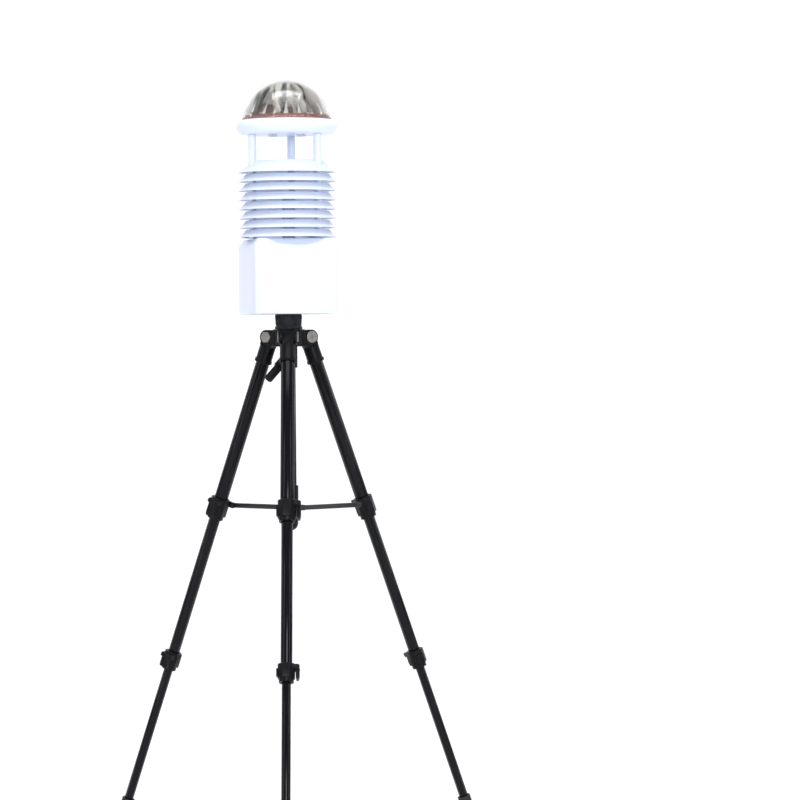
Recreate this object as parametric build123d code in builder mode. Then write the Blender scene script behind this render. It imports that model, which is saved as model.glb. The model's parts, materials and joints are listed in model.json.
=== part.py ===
"""Tripod weather station: a compact sensor head on a light three-section tripod.

Frame: +Z up, millimetres, origin on the floor under the centre column.
One leg points to -Y. Each leg has its own plane, with its origin on the leg's
pivot, x along the pivot axis, y square to the leg and outwards, z down the leg.
"""

import os
from math import atan, cos, degrees, radians, sin, sqrt

from build123d import *

# ---- general ----
RUNNING = 0.05  # radial clearance of a shaft or pin in its bore
GAP = 0.3  # clearance between parts that move past each other
SEAT = 0.05  # clearance of a tube glued into its socket

# ---- tripod: overall ----
PIVOT_HEIGHT = 712.0
PIVOT_RADIUS = 31.0
SPLAY = 20.6  # leg angle from vertical when open, degrees
LEGS = {"front": 270.0, "left": 150.0, "right": 30.0}  # azimuth of each leg

# ---- tripod: leg tubes, outside radii and wall ----
UPPER_TUBE_RADIUS = 10.0
MIDDLE_TUBE_RADIUS = 8.25
LOWER_TUBE_RADIUS = 6.5
TUBE_WALL = 1.0
OVERLAP = 32.0  # length of each tube kept inside the one above
UPPER_CLAMP_AT = 268.0  # distances along the leg from its pivot
LOWER_CLAMP_AT = 510.0

# ---- tripod: leg top and its pivot ----
KNUCKLE_RADIUS = 10.0
KNUCKLE_WIDTH = 15.8
SLEEVE_START = 14.0
SLEEVE_END = 39.5
SLEEVE_RADIUS = 11.7
SLEEVE_LIP_RADIUS = 12.9
SLEEVE_LIP_HEIGHT = 4.5
BOLT_RADIUS = 3.0
BOLT_HEAD_RADIUS = 8.6
BOLT_HEAD_HEIGHT = 2.0

# ---- tripod: crown, column and its guide ----
EAR_THICKNESS = 5.0
EAR_RADIUS = 10.6
CROWN_TOP = 723.0
CROWN_HUB_RADIUS = 21.0
CROWN_HUB_HEIGHT = 25.0
CROWN_RIM_RADIUS = 23.5
CROWN_RIM_HEIGHT = 4.0
NECK_RADIUS = 12.6
NECK_LENGTH = 31.0
COLUMN_RADIUS = 8.0
COLUMN_LENGTH = 272.0
COLUMN_WALL = 1.2
COLUMN_ABOVE_CROWN = 15.0
GUIDE_WALL = 1.7
GUIDE_LENGTH = 260.0
GUIDE_IN_NECK = 31.0
STOP_RADIUS = 11.7
STOP_HEIGHT = 21.0
STOP_SOCKET = 12.0

# ---- tripod: column lock knob ----
KNOB_AZIMUTH = 210.0
KNOB_SLOPE = 45.0  # below the horizontal, degrees
KNOB_AXIS_HEIGHT = 685.0  # where the knob's axis meets the column's
KNOB_RADIUS = 6.2
KNOB_LENGTH = 25.0
KNOB_SCREW_RADIUS = 2.5
KNOB_BOSS_RADIUS = 8.0
KNOB_BOSS_REACH = 24.2

# ---- tripod: leg clamps and their levers ----
UPPER_CLAMP_HEIGHT = 32.0
UPPER_CLAMP_HALF_WIDTH = 13.4
LOWER_CLAMP_HEIGHT = 27.0
LOWER_CLAMP_HALF_WIDTH = 12.2
CLAMP_RING_HEIGHT = 6.0
CLAMP_SOCKET = 11.0  # depth of the upper tube's socket in its clamp
LEVER_EAR_THICKNESS = 2.5
LEVER_WIDTH = 13.0
LEVER_HUB_RADIUS = 3.4
LEVER_PIN_RADIUS = 1.5
LEVER_THICKNESS = 5.0
SLIT = 1.6

# ---- tripod: spreader ----
BRACE_HEIGHT = 7.0
BRACE_THICKNESS = 2.0
BRACE_END_RADIUS = 4.2
RIVET_RADIUS = 1.9
RIVET_HEAD_RADIUS = 3.4
RIVET_HEAD_HEIGHT = 1.2
LUG_THICKNESS = 3.5
LUG_AT = 258.0  # brace pivot on the leg, along the leg
LUG_INSET = 16.0  # brace pivot on the leg, inwards from the leg's axis
HUB_PIN_RADIUS = 15.0
HUB_WALL = 2.4
HUB_HEIGHT = 45.0
HUB_PIN_ABOVE_BASE = 12.5
BRACE_SIDE_GAP = 0.5

# ---- tripod: feet ----
FOOT_START = 28.0  # top of the foot, measured up the leg from the floor
FOOT_COLLAR_RADIUS = 9.4
FOOT_BALL_RADIUS = 13.0
FOOT_SOCKET = 16.0

# ---- adaptor ----
ADAPTOR_HEIGHT = 22.0
ADAPTOR_TOP_RADIUS = 19.6
ADAPTOR_WAIST_RADIUS = 18.8
ADAPTOR_FOOT_RADIUS = 20.6
SPIGOT_RADIUS = 6.0
SPIGOT_LENGTH = 13.0

# ---- station housing ----
HOUSING_SIDE = 124.0
HOUSING_HEIGHT = 109.5
HOUSING_TURN = 14.0
HOUSING_WALL = 3.0
HOUSING_CORNER = 5.0
HOUSING_BEVEL_ACROSS = 7.0
HOUSING_BEVEL_DOWN = 10.0
BASE_THICKNESS = 5.0
BASE_RECESS = 1.0
BASE_PAD_RADIUS = 21.5
SCREW_INSET = 11.0  # corner screws from the housing's outer faces
SCREW_RADIUS = 1.5
SCREW_HEAD_RADIUS = 3.0
SCREW_HEAD_HEIGHT = 2.0
SCREW_LENGTH = 14.0
SCREW_BOSS_RADIUS = 5.0
SCREW_BOSS_HEIGHT = 17.0
INSERT_WALL = 3.0
BOARD_LENGTH = 86.0
BOARD_WIDTH = 66.0
BOARD_THICKNESS = 1.6
BOARD_POST_HEIGHT = 30.0
BOARD_POST_RADIUS = 3.2
SOCKET_THREAD_RADIUS = 6.0
SOCKET_FLANGE_RADIUS = 9.0
SOCKET_BACK = 40.0  # distance of the cable socket behind the centre
SOCKET_REACH = 10.0

# ---- radiation shield ----
PLATE_COUNT = 7
PLATE_PITCH = 13.5
PLATE_RIM_RADIUS = 71.5
PLATE_FLANGE_RADIUS = 61.0
PLATE_BORE_RADIUS = 44.0
PLATE_DROP = 11.0
PLATE_THICKNESS = 1.8
CAP_TOP_RADIUS = 52.5
CAP_HEIGHT = 17.4
SHIELD_LIFT = 2.4  # lowest rim above the housing's top
POST_CIRCLE_RADIUS = 55.0
POST_AZIMUTHS = (85.5, 205.5, 325.5)
SPACER_RADIUS = 5.0
ROD_RADIUS = 2.0
PROBE_RADIUS = 8.0
PROBE_LENGTH = 60.0
PROBE_FLANGE_RADIUS = 12.0

# ---- wind sensor and rain sensor ----
WIND_GAP = 38.0  # height of the measuring space under the disc
COLUMN_POST_RADIUS = 6.0
DISC_RADIUS = 74.0
DISC_THICKNESS = 22.0
DISC_FLAT_BOTTOM_RADIUS = 62.0
DISC_FLAT_TOP_RADIUS = 66.0
DISC_WALL = 3.5
TRANSDUCER_RADIUS = 6.8
TRANSDUCER_CIRCLE = 29.0
TRANSDUCER_HEIGHT = 12.0
TRANSDUCER_PROUD = 1.5
DOME_RADIUS = 65.0
DOME_HEIGHT = 56.5
DOME_WALL = 2.4
SEAL_WIDTH = 4.8
SEAL_HEIGHT = 1.6
SEAL_LIP_WIDTH = 1.1
SEAL_LIP_HEIGHT = 6.0
SENSOR_BOARD_RADIUS = 60.0
SENSOR_BOARD_THICKNESS = 2.0
LOBE_COUNT = 8
LOBE_START_AZIMUTH = 260.0
MODULE_CIRCLE = 50.0
MODULE_SIDE = 10.0
MODULE_HEIGHT = 4.5
LOBE_FOOT_RADIUS = 5.5
LOBE_TOP_CIRCLE = 24.0
LOBE_TOP_RADII = (12.0, 8.0)  # large and small lobes take turns

# ---- heights that follow ----
CROWN_HUB_BASE = CROWN_TOP - CROWN_HUB_HEIGHT
NECK_BASE = CROWN_HUB_BASE - NECK_LENGTH
COLUMN_TOP = CROWN_TOP + COLUMN_ABOVE_CROWN
GUIDE_BORE = COLUMN_RADIUS + RUNNING
GUIDE_RADIUS = GUIDE_BORE + GUIDE_WALL
GUIDE_TOP = NECK_BASE + GUIDE_IN_NECK
GUIDE_BASE = GUIDE_TOP - GUIDE_LENGTH
STOP_TOP = GUIDE_BASE + STOP_SOCKET
ADAPTOR_BASE = CROWN_TOP + GAP
ADAPTOR_TOP = ADAPTOR_BASE + ADAPTOR_HEIGHT
HOUSING_BASE_Z = ADAPTOR_TOP
HOUSING_TOP = HOUSING_BASE_Z + HOUSING_HEIGHT
BASE_BOTTOM = HOUSING_BASE_Z + BASE_RECESS
BASE_TOP = BASE_BOTTOM + BASE_THICKNESS
LOWEST_RIM = HOUSING_TOP + SHIELD_LIFT
CAP_RIM = LOWEST_RIM + PLATE_COUNT * PLATE_PITCH
CAP_TOP = CAP_RIM + CAP_HEIGHT
DISC_BASE = CAP_TOP + WIND_GAP
DISC_TOP = DISC_BASE + DISC_THICKNESS
SENSOR_BOARD_BASE = DISC_TOP
MODULE_BASE = SENSOR_BOARD_BASE + SENSOR_BOARD_THICKNESS
DOME_BASE = DISC_TOP + SEAL_HEIGHT

# ---- spreader geometry that follows ----
HUB_BORE = GUIDE_RADIUS + RUNNING
HUB_RADIUS = HUB_BORE + HUB_WALL
BRACE_FACE = HUB_RADIUS + BRACE_SIDE_GAP  # the bar's near face, aside of the axis
HUB_BASE = STOP_TOP + GAP
HUB_PIN_HEIGHT = HUB_BASE + HUB_PIN_ABOVE_BASE
LUG_RADIUS = PIVOT_RADIUS + LUG_AT * sin(radians(SPLAY)) - LUG_INSET * cos(radians(SPLAY))
LUG_HEIGHT = PIVOT_HEIGHT - LUG_AT * cos(radians(SPLAY)) - LUG_INSET * sin(radians(SPLAY))

# ---- leg length that follows ----
LEG_LENGTH = PIVOT_HEIGHT / cos(radians(SPLAY))


def save(part, label):
    """Name a finished piece and write its own file."""
    part.label = label
    export_step(part, f"parts/{label}.step")


def leg_plane(azimuth):
    """Plane of one leg: x along its pivot, y outwards, z down the leg."""
    out = Vector(cos(radians(azimuth)), sin(radians(azimuth)), 0)
    along_pivot = Vector(-sin(radians(azimuth)), cos(radians(azimuth)), 0)
    down = out * sin(radians(SPLAY)) - Vector(0, 0, cos(radians(SPLAY)))
    origin = out * PIVOT_RADIUS + Vector(0, 0, PIVOT_HEIGHT)
    return Plane(origin=origin, x_dir=along_pivot, z_dir=down)


def side_plane(leg, shift=0.0):
    """Plane along a leg, square to its pivot: x outwards, y down the leg."""
    return Plane(origin=leg.origin + leg.x_dir * shift, x_dir=leg.y_dir, z_dir=leg.x_dir)


def upright_plane(azimuth, shift=0.0):
    """Upright plane through the column's axis: x outwards, y up."""
    out = Vector(cos(radians(azimuth)), sin(radians(azimuth)), 0)
    aside = Vector(sin(radians(azimuth)), -cos(radians(azimuth)), 0)
    return Plane(origin=aside * shift, x_dir=out, z_dir=aside)


def ring(plane, start, end, outer, inner):
    """Plain tube between two distances along a plane's normal."""
    with BuildPart() as tube:
        with BuildSketch(plane.offset(start)):
            Circle(outer)
            Circle(inner, mode=Mode.SUBTRACT)
        extrude(amount=end - start)
    return tube.part


def box_on(plane, low, high, mode=Mode.ADD):
    """Block between two opposite corners given in a plane's own axes."""
    with BuildSketch(plane.offset(low[2]), mode=Mode.PRIVATE) as outline:
        with Locations(((low[0] + high[0]) / 2, (low[1] + high[1]) / 2)):
            Rectangle(high[0] - low[0], high[1] - low[1])
    extrude(outline.sketch, amount=high[2] - low[2], mode=mode)


def disc_on(plane, start, end, radius, at=(0, 0), mode=Mode.ADD):
    """Round pin or hole between two distances along a plane's normal."""
    with BuildSketch(plane.offset(start), mode=Mode.PRIVATE) as outline:
        with Locations(at):
            Circle(radius)
    extrude(outline.sketch, amount=end - start, mode=mode)


os.makedirs("parts", exist_ok=True)

# ---- crown: hub, three pairs of ears, neck and knob boss in one casting ----
knob_out = Vector(cos(radians(KNOB_AZIMUTH)), sin(radians(KNOB_AZIMUTH)), 0)
knob_along = knob_out * cos(radians(KNOB_SLOPE)) - Vector(0, 0, sin(radians(KNOB_SLOPE)))
knob_plane = Plane(origin=(0, 0, KNOB_AXIS_HEIGHT), z_dir=knob_along)
ear_inside = KNUCKLE_WIDTH / 2 + GAP
ear_outside = ear_inside + EAR_THICKNESS

with BuildPart() as crown:
    disc_on(Plane.XY, CROWN_HUB_BASE, CROWN_TOP, CROWN_HUB_RADIUS)
    disc_on(Plane.XY, CROWN_TOP - CROWN_RIM_HEIGHT, CROWN_TOP, CROWN_RIM_RADIUS)
    disc_on(Plane.XY, NECK_BASE, CROWN_HUB_BASE, NECK_RADIUS)
    disc_on(knob_plane, 0, KNOB_BOSS_REACH, KNOB_BOSS_RADIUS)
    for azimuth in LEGS.values():
        ear_plane = upright_plane(azimuth)
        with BuildSketch(ear_plane):
            with Locations((PIVOT_RADIUS, PIVOT_HEIGHT)):
                Circle(EAR_RADIUS)
            with BuildLine():
                Polyline(
                    (NECK_RADIUS, CROWN_TOP - CROWN_RIM_HEIGHT / 2),
                    (PIVOT_RADIUS, PIVOT_HEIGHT + EAR_RADIUS),
                    (PIVOT_RADIUS, PIVOT_HEIGHT - EAR_RADIUS + 1),
                    (NECK_RADIUS, CROWN_HUB_BASE),
                    close=True,
                )
            make_face()
        extrude(amount=ear_outside, both=True)
    for azimuth in LEGS.values():
        ear_plane = upright_plane(azimuth)
        with BuildSketch(ear_plane):
            with Locations((PIVOT_RADIUS, PIVOT_HEIGHT)):
                Circle(KNUCKLE_RADIUS + GAP)
            with Locations((PIVOT_RADIUS + EAR_RADIUS, PIVOT_HEIGHT)):
                Rectangle(2 * EAR_RADIUS, 4 * EAR_RADIUS)
            with Locations((PIVOT_RADIUS, PIVOT_HEIGHT - EAR_RADIUS)):
                Rectangle(2 * (KNUCKLE_RADIUS + GAP), 2 * EAR_RADIUS)
        extrude(amount=ear_inside, both=True, mode=Mode.SUBTRACT)
        with BuildSketch(ear_plane):
            with Locations((PIVOT_RADIUS, PIVOT_HEIGHT)):
                Circle(BOLT_RADIUS + RUNNING)
        extrude(amount=ear_outside, both=True, mode=Mode.SUBTRACT)
    bore_base = NECK_BASE - 2 * KNOB_BOSS_RADIUS
    disc_on(Plane.XY, bore_base, CROWN_TOP, GUIDE_BORE, mode=Mode.SUBTRACT)
    disc_on(Plane.XY, bore_base, GUIDE_TOP, GUIDE_RADIUS + SEAT, mode=Mode.SUBTRACT)
    disc_on(
        knob_plane,
        GUIDE_RADIUS / cos(radians(KNOB_SLOPE)) - KNOB_SCREW_RADIUS,
        KNOB_BOSS_REACH,
        KNOB_SCREW_RADIUS + RUNNING,
        mode=Mode.SUBTRACT,
    )
save(crown.part, "crown")

# ---- bolts of the three leg pivots: shank, head with a cross slot, nut end ----
with BuildPart() as leg_pivot_bolts:
    for azimuth in LEGS.values():
        bolt_plane = upright_plane(azimuth, ear_outside)
        centre = (PIVOT_RADIUS, PIVOT_HEIGHT)
        disc_on(bolt_plane, -2 * ear_outside, 0, BOLT_RADIUS, centre)
        disc_on(bolt_plane, 0, BOLT_HEAD_HEIGHT, BOLT_HEAD_RADIUS, centre)
        nut_plane = bolt_plane.offset(-2 * ear_outside - BOLT_HEAD_HEIGHT)
        with BuildSketch(nut_plane):
            with Locations(centre):
                RegularPolygon(BOLT_HEAD_RADIUS, 6)
        extrude(amount=BOLT_HEAD_HEIGHT)
        with BuildSketch(bolt_plane.offset(BOLT_HEAD_HEIGHT / 2)):
            with Locations(centre):
                Rectangle(BOLT_HEAD_RADIUS * 1.2, 1.2)
                Rectangle(1.2, BOLT_HEAD_RADIUS * 1.2)
        extrude(amount=BOLT_HEAD_HEIGHT, mode=Mode.SUBTRACT)
save(leg_pivot_bolts.part, "leg_pivot_bolts")

# ---- guide tube under the crown, its round stop and the column inside ----
save(ring(Plane.XY, GUIDE_BASE, GUIDE_TOP, GUIDE_RADIUS, GUIDE_BORE), "guide_tube")

with BuildPart() as guide_stop:
    stop_base = STOP_TOP - STOP_HEIGHT
    with BuildSketch(Plane.XZ):
        with BuildLine():
            Line((0, stop_base), (0, STOP_TOP))
            Line((0, STOP_TOP), (STOP_RADIUS, STOP_TOP))
            Line((STOP_RADIUS, STOP_TOP), (STOP_RADIUS, stop_base + STOP_RADIUS))
            CenterArc((0, stop_base + STOP_RADIUS), STOP_RADIUS, -90, 90)
        make_face()
    revolve(axis=Axis.Z)
    disc_on(Plane.XY, GUIDE_BASE, STOP_TOP, GUIDE_RADIUS, mode=Mode.SUBTRACT)
save(guide_stop.part, "guide_stop")

column = ring(Plane.XY, COLUMN_TOP - COLUMN_LENGTH, COLUMN_TOP, COLUMN_RADIUS, COLUMN_RADIUS - COLUMN_WALL)
save(column, "centre_column")

# ---- column lock knob: ribbed barrel with its clamp screw ----
with BuildPart() as lock_knob:
    knob_start = KNOB_BOSS_REACH + GAP
    screw_start = GUIDE_RADIUS / cos(radians(KNOB_SLOPE)) + KNOB_SCREW_RADIUS
    disc_on(knob_plane, knob_start, knob_start + KNOB_LENGTH, KNOB_RADIUS)
    chamfer(lock_knob.faces().sort_by(Axis(knob_plane.origin, knob_along))[-1].edges(), 1.0)
    disc_on(knob_plane, screw_start, knob_start, KNOB_SCREW_RADIUS)
save(lock_knob.part, "lock_knob")

# ---- sliding hub of the spreader, with one lug beside each brace ----
with BuildPart() as brace_hub:
    disc_on(Plane.XY, HUB_BASE, HUB_BASE + HUB_HEIGHT, HUB_RADIUS)
    for azimuth in LEGS.values():
        with BuildSketch(upright_plane(azimuth, HUB_RADIUS)):
            with Locations((HUB_PIN_RADIUS, HUB_PIN_HEIGHT)):
                Circle(BRACE_END_RADIUS)
            with Locations((HUB_PIN_RADIUS / 2, HUB_PIN_HEIGHT)):
                Rectangle(HUB_PIN_RADIUS, 2 * BRACE_END_RADIUS)
        extrude(amount=-LUG_THICKNESS)
    disc_on(Plane.XY, HUB_BASE, HUB_BASE + HUB_HEIGHT, HUB_BORE, mode=Mode.SUBTRACT)
save(brace_hub.part, "brace_hub")


def clamp(leg, centre, height, half_width, held_radius, sliding_radius, with_lug):
    """Leg clamp: eight-sided body, lever ears, lower ring and both bores."""
    start = centre - height / 2
    end = centre + height / 2
    lever_at = half_width + LEVER_HUB_RADIUS
    ear_in = LEVER_WIDTH / 2 + GAP
    ear_out = ear_in + LEVER_EAR_THICKNESS
    lever_plane = Plane(origin=leg.origin, x_dir=leg.x_dir, z_dir=-leg.y_dir)
    with BuildPart() as body:
        with BuildSketch(leg.offset(start)):
            RegularPolygon(half_width, 8, major_radius=False, rotation=22.5)
        extrude(amount=height - CLAMP_RING_HEIGHT)
        disc_on(leg, end - CLAMP_RING_HEIGHT, end, half_width - 1.6)
        chamfer(body.faces().sort_by(Axis(leg.origin, leg.z_dir))[0].edges(), 0.8)
        with BuildSketch(lever_plane):
            with Locations((lever_at, start + LEVER_HUB_RADIUS + 2)):
                Circle(LEVER_HUB_RADIUS)
            with Locations((half_width * 0.85, start + LEVER_HUB_RADIUS + 2)):
                Rectangle(2 * (lever_at - half_width * 0.85), 2 * LEVER_HUB_RADIUS)
        extrude(amount=ear_out, both=True)
        with BuildSketch(lever_plane):
            with Locations((half_width + 20, centre)):
                Rectangle(40 - GAP, 2 * height)
        extrude(amount=ear_in, both=True, mode=Mode.SUBTRACT)
        with BuildSketch(lever_plane):
            with Locations((lever_at, start + LEVER_HUB_RADIUS + 2)):
                Circle(LEVER_PIN_RADIUS + RUNNING)
        extrude(amount=ear_out, both=True, mode=Mode.SUBTRACT)
        block = (-half_width - 2.2, -5.0, start + 7)
        box_on(leg, block, (-half_width + 2, 5.0, end - CLAMP_RING_HEIGHT - 3))
        if with_lug:
            lug_top = -BRACE_FACE + BRACE_SIDE_GAP
            with BuildSketch(side_plane(leg, lug_top)):
                with Locations((-LUG_INSET, LUG_AT)):
                    Circle(BRACE_END_RADIUS)
                with Locations((-LUG_INSET / 2 - 2, LUG_AT)):
                    Rectangle(LUG_INSET - 4, 2 * BRACE_END_RADIUS)
            extrude(amount=LUG_THICKNESS)
            with BuildSketch(side_plane(leg, lug_top)):
                with Locations((-LUG_INSET, LUG_AT)):
                    Circle(RIVET_RADIUS + RUNNING)
            extrude(amount=LUG_THICKNESS, mode=Mode.SUBTRACT)
        disc_on(leg, start, start + CLAMP_SOCKET, held_radius + SEAT, mode=Mode.SUBTRACT)
        disc_on(leg, start, end, sliding_radius + RUNNING, mode=Mode.SUBTRACT)
        slit_start = (sliding_radius, -SLIT / 2, start + CLAMP_SOCKET)
        box_on(leg, slit_start, (half_width + 5, SLIT / 2, end), mode=Mode.SUBTRACT)
    return body.part


def lever(leg, centre, height, half_width):
    """Flip lever of a clamp: hub with its pin, and a paddle down the leg."""
    start = centre - height / 2
    lever_at = half_width + LEVER_HUB_RADIUS
    hub_at = start + LEVER_HUB_RADIUS + 2
    lever_plane = Plane(origin=leg.origin, x_dir=leg.x_dir, z_dir=-leg.y_dir)
    pin_reach = LEVER_WIDTH / 2 + GAP + LEVER_EAR_THICKNESS
    paddle_end = centre + height / 2 - CLAMP_RING_HEIGHT + 2
    with BuildPart() as piece:
        with BuildSketch(lever_plane):
            with Locations((lever_at, hub_at)):
                Circle(LEVER_HUB_RADIUS - GAP)
            with BuildLine():
                Polyline(
                    (half_width + GAP + 0.6, hub_at),
                    (lever_at + LEVER_HUB_RADIUS - GAP, hub_at),
                    (half_width + LEVER_THICKNESS + 1.5, paddle_end - 4),
                    (half_width + LEVER_THICKNESS, paddle_end),
                    (half_width + 1.8, paddle_end),
                    (half_width + 1.0, paddle_end - 5),
                    close=True,
                )
            make_face()
        extrude(amount=LEVER_WIDTH / 2, both=True)
        with BuildSketch(lever_plane):
            with Locations((lever_at, hub_at)):
                Circle(LEVER_PIN_RADIUS)
        extrude(amount=pin_reach, both=True)
    return piece.part


def make_leg(name, azimuth):
    """All pieces of one leg, each in its own file."""
    leg = leg_plane(azimuth)
    side = side_plane(leg)
    upper_start = UPPER_CLAMP_AT - UPPER_CLAMP_HEIGHT / 2
    lower_start = LOWER_CLAMP_AT - LOWER_CLAMP_HEIGHT / 2
    foot_top = LEG_LENGTH - FOOT_START

    with BuildPart() as leg_top:
        with BuildSketch(side):
            Circle(KNUCKLE_RADIUS)
            with Locations((0, SLEEVE_START / 2)):
                Rectangle(2 * KNUCKLE_RADIUS - 0.6, SLEEVE_START)
        extrude(amount=KNUCKLE_WIDTH / 2, both=True)
        disc_on(leg, SLEEVE_START, SLEEVE_END, SLEEVE_RADIUS)
        disc_on(leg, SLEEVE_END - SLEEVE_LIP_HEIGHT, SLEEVE_END, SLEEVE_LIP_RADIUS)
        chamfer(leg_top.faces().sort_by(Axis(leg.origin, leg.z_dir))[-1].edges(), 0.8)
        socket_start = SLEEVE_START + 2
        socket_radius = UPPER_TUBE_RADIUS + SEAT
        disc_on(leg, socket_start, SLEEVE_END, socket_radius, mode=Mode.SUBTRACT)
        with BuildSketch(side):
            Circle(BOLT_RADIUS + RUNNING)
        extrude(amount=KNUCKLE_WIDTH / 2, both=True, mode=Mode.SUBTRACT)
    save(leg_top.part, f"{name}_leg_top")

    upper_end = upper_start + CLAMP_SOCKET
    bore = UPPER_TUBE_RADIUS - TUBE_WALL
    save(ring(leg, socket_start, upper_end, UPPER_TUBE_RADIUS, bore), f"{name}_upper_tube")
    middle_start = upper_end - OVERLAP
    middle_end = lower_start + CLAMP_SOCKET
    bore = MIDDLE_TUBE_RADIUS - TUBE_WALL
    middle = ring(leg, middle_start, middle_end, MIDDLE_TUBE_RADIUS, bore)
    save(middle, f"{name}_middle_tube")
    lower_end = foot_top + FOOT_SOCKET
    bore = LOWER_TUBE_RADIUS - TUBE_WALL
    lower = ring(leg, middle_end - OVERLAP, lower_end, LOWER_TUBE_RADIUS, bore)
    save(lower, f"{name}_lower_tube")

    upper_clamp = clamp(
        leg,
        UPPER_CLAMP_AT,
        UPPER_CLAMP_HEIGHT,
        UPPER_CLAMP_HALF_WIDTH,
        UPPER_TUBE_RADIUS,
        MIDDLE_TUBE_RADIUS,
        True,
    )
    save(upper_clamp, f"{name}_upper_clamp")
    lower_clamp = clamp(
        leg,
        LOWER_CLAMP_AT,
        LOWER_CLAMP_HEIGHT,
        LOWER_CLAMP_HALF_WIDTH,
        MIDDLE_TUBE_RADIUS,
        LOWER_TUBE_RADIUS,
        False,
    )
    save(lower_clamp, f"{name}_lower_clamp")
    upper_lever = lever(leg, UPPER_CLAMP_AT, UPPER_CLAMP_HEIGHT, UPPER_CLAMP_HALF_WIDTH)
    save(upper_lever, f"{name}_upper_lever")
    lower_lever = lever(leg, LOWER_CLAMP_AT, LOWER_CLAMP_HEIGHT, LOWER_CLAMP_HALF_WIDTH)
    save(lower_lever, f"{name}_lower_lever")

    with BuildPart() as foot:
        disc_on(leg, foot_top, LEG_LENGTH, FOOT_COLLAR_RADIUS)
        with Locations(leg.offset(LEG_LENGTH - FOOT_BALL_RADIUS * 0.6)):
            Sphere(FOOT_BALL_RADIUS)
        split(bisect_by=Plane.XY, keep=Keep.TOP)
        disc_on(leg, foot_top, lower_end, LOWER_TUBE_RADIUS + SEAT, mode=Mode.SUBTRACT)
    save(foot.part, f"{name}_foot")

    brace_plane = upright_plane(azimuth, BRACE_FACE)
    lug_pin = (LUG_RADIUS, LUG_HEIGHT)
    hub_pin = (HUB_PIN_RADIUS, HUB_PIN_HEIGHT)
    middle = ((lug_pin[0] + hub_pin[0]) / 2, (lug_pin[1] + hub_pin[1]) / 2)
    reach = lug_pin[0] - hub_pin[0]
    rise = lug_pin[1] - hub_pin[1]
    brace_length = sqrt(reach**2 + rise**2)
    brace_tilt = degrees(atan(rise / reach))
    with BuildPart() as brace:
        with BuildSketch(brace_plane):
            with Locations(lug_pin, hub_pin):
                Circle(BRACE_END_RADIUS)
            with Locations(middle):
                SlotCenterToCenter(brace_length, BRACE_HEIGHT, rotation=brace_tilt)
            with Locations(lug_pin, hub_pin):
                Circle(RIVET_RADIUS, mode=Mode.SUBTRACT)
        extrude(amount=BRACE_THICKNESS)
    save(brace.part, f"{name}_brace")

    head_face = BRACE_THICKNESS
    with BuildPart() as brace_rivets:
        for pin in (lug_pin, hub_pin):
            disc_on(brace_plane, 0, head_face, RIVET_RADIUS, pin)
            disc_on(brace_plane, head_face, head_face + RIVET_HEAD_HEIGHT, RIVET_HEAD_RADIUS, pin)
        shank_end = -BRACE_SIDE_GAP - LUG_THICKNESS - GAP
        disc_on(brace_plane, shank_end, 0, RIVET_RADIUS, lug_pin)
        tail_end = shank_end - RIVET_HEAD_HEIGHT / 2
        disc_on(brace_plane, tail_end, shank_end, RIVET_HEAD_RADIUS - 0.8, lug_pin)
    save(brace_rivets.part, f"{name}_brace_rivets")


for leg_name, leg_azimuth in LEGS.items():
    make_leg(leg_name, leg_azimuth)

# ================= station =================
housing_plane = Plane.XY.rotated((0, 0, HOUSING_TURN))

# ---- adaptor: waisted grip, bored for the column, with a threaded spigot ----
with BuildPart() as adaptor:
    with BuildSketch(Plane.XZ):
        with BuildLine():
            Polyline(
                (0, ADAPTOR_BASE),
                (ADAPTOR_FOOT_RADIUS, ADAPTOR_BASE),
                (ADAPTOR_FOOT_RADIUS, ADAPTOR_BASE + 2),
                (ADAPTOR_WAIST_RADIUS, ADAPTOR_BASE + 6),
                (ADAPTOR_TOP_RADIUS, ADAPTOR_TOP - 2),
                (ADAPTOR_TOP_RADIUS, ADAPTOR_TOP),
                (0, ADAPTOR_TOP),
                close=True,
            )
        make_face()
    revolve(axis=Axis.Z)
    disc_on(Plane.XY, ADAPTOR_TOP, ADAPTOR_TOP + SPIGOT_LENGTH, SPIGOT_RADIUS)
    bore_radius = COLUMN_RADIUS + RUNNING
    disc_on(Plane.XY, ADAPTOR_BASE, COLUMN_TOP + GAP, bore_radius, mode=Mode.SUBTRACT)
save(adaptor.part, "adaptor")

# ---- housing: square box, open below, with bevelled top edges ----
half_side = HOUSING_SIDE / 2
screw_at = half_side - SCREW_INSET
corners = [(x * screw_at, y * screw_at) for x in (-1, 1) for y in (-1, 1)]
inner_side = HOUSING_SIDE - 2 * HOUSING_WALL
bevel_slope = degrees(atan(HOUSING_BEVEL_ACROSS / HOUSING_BEVEL_DOWN))

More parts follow.
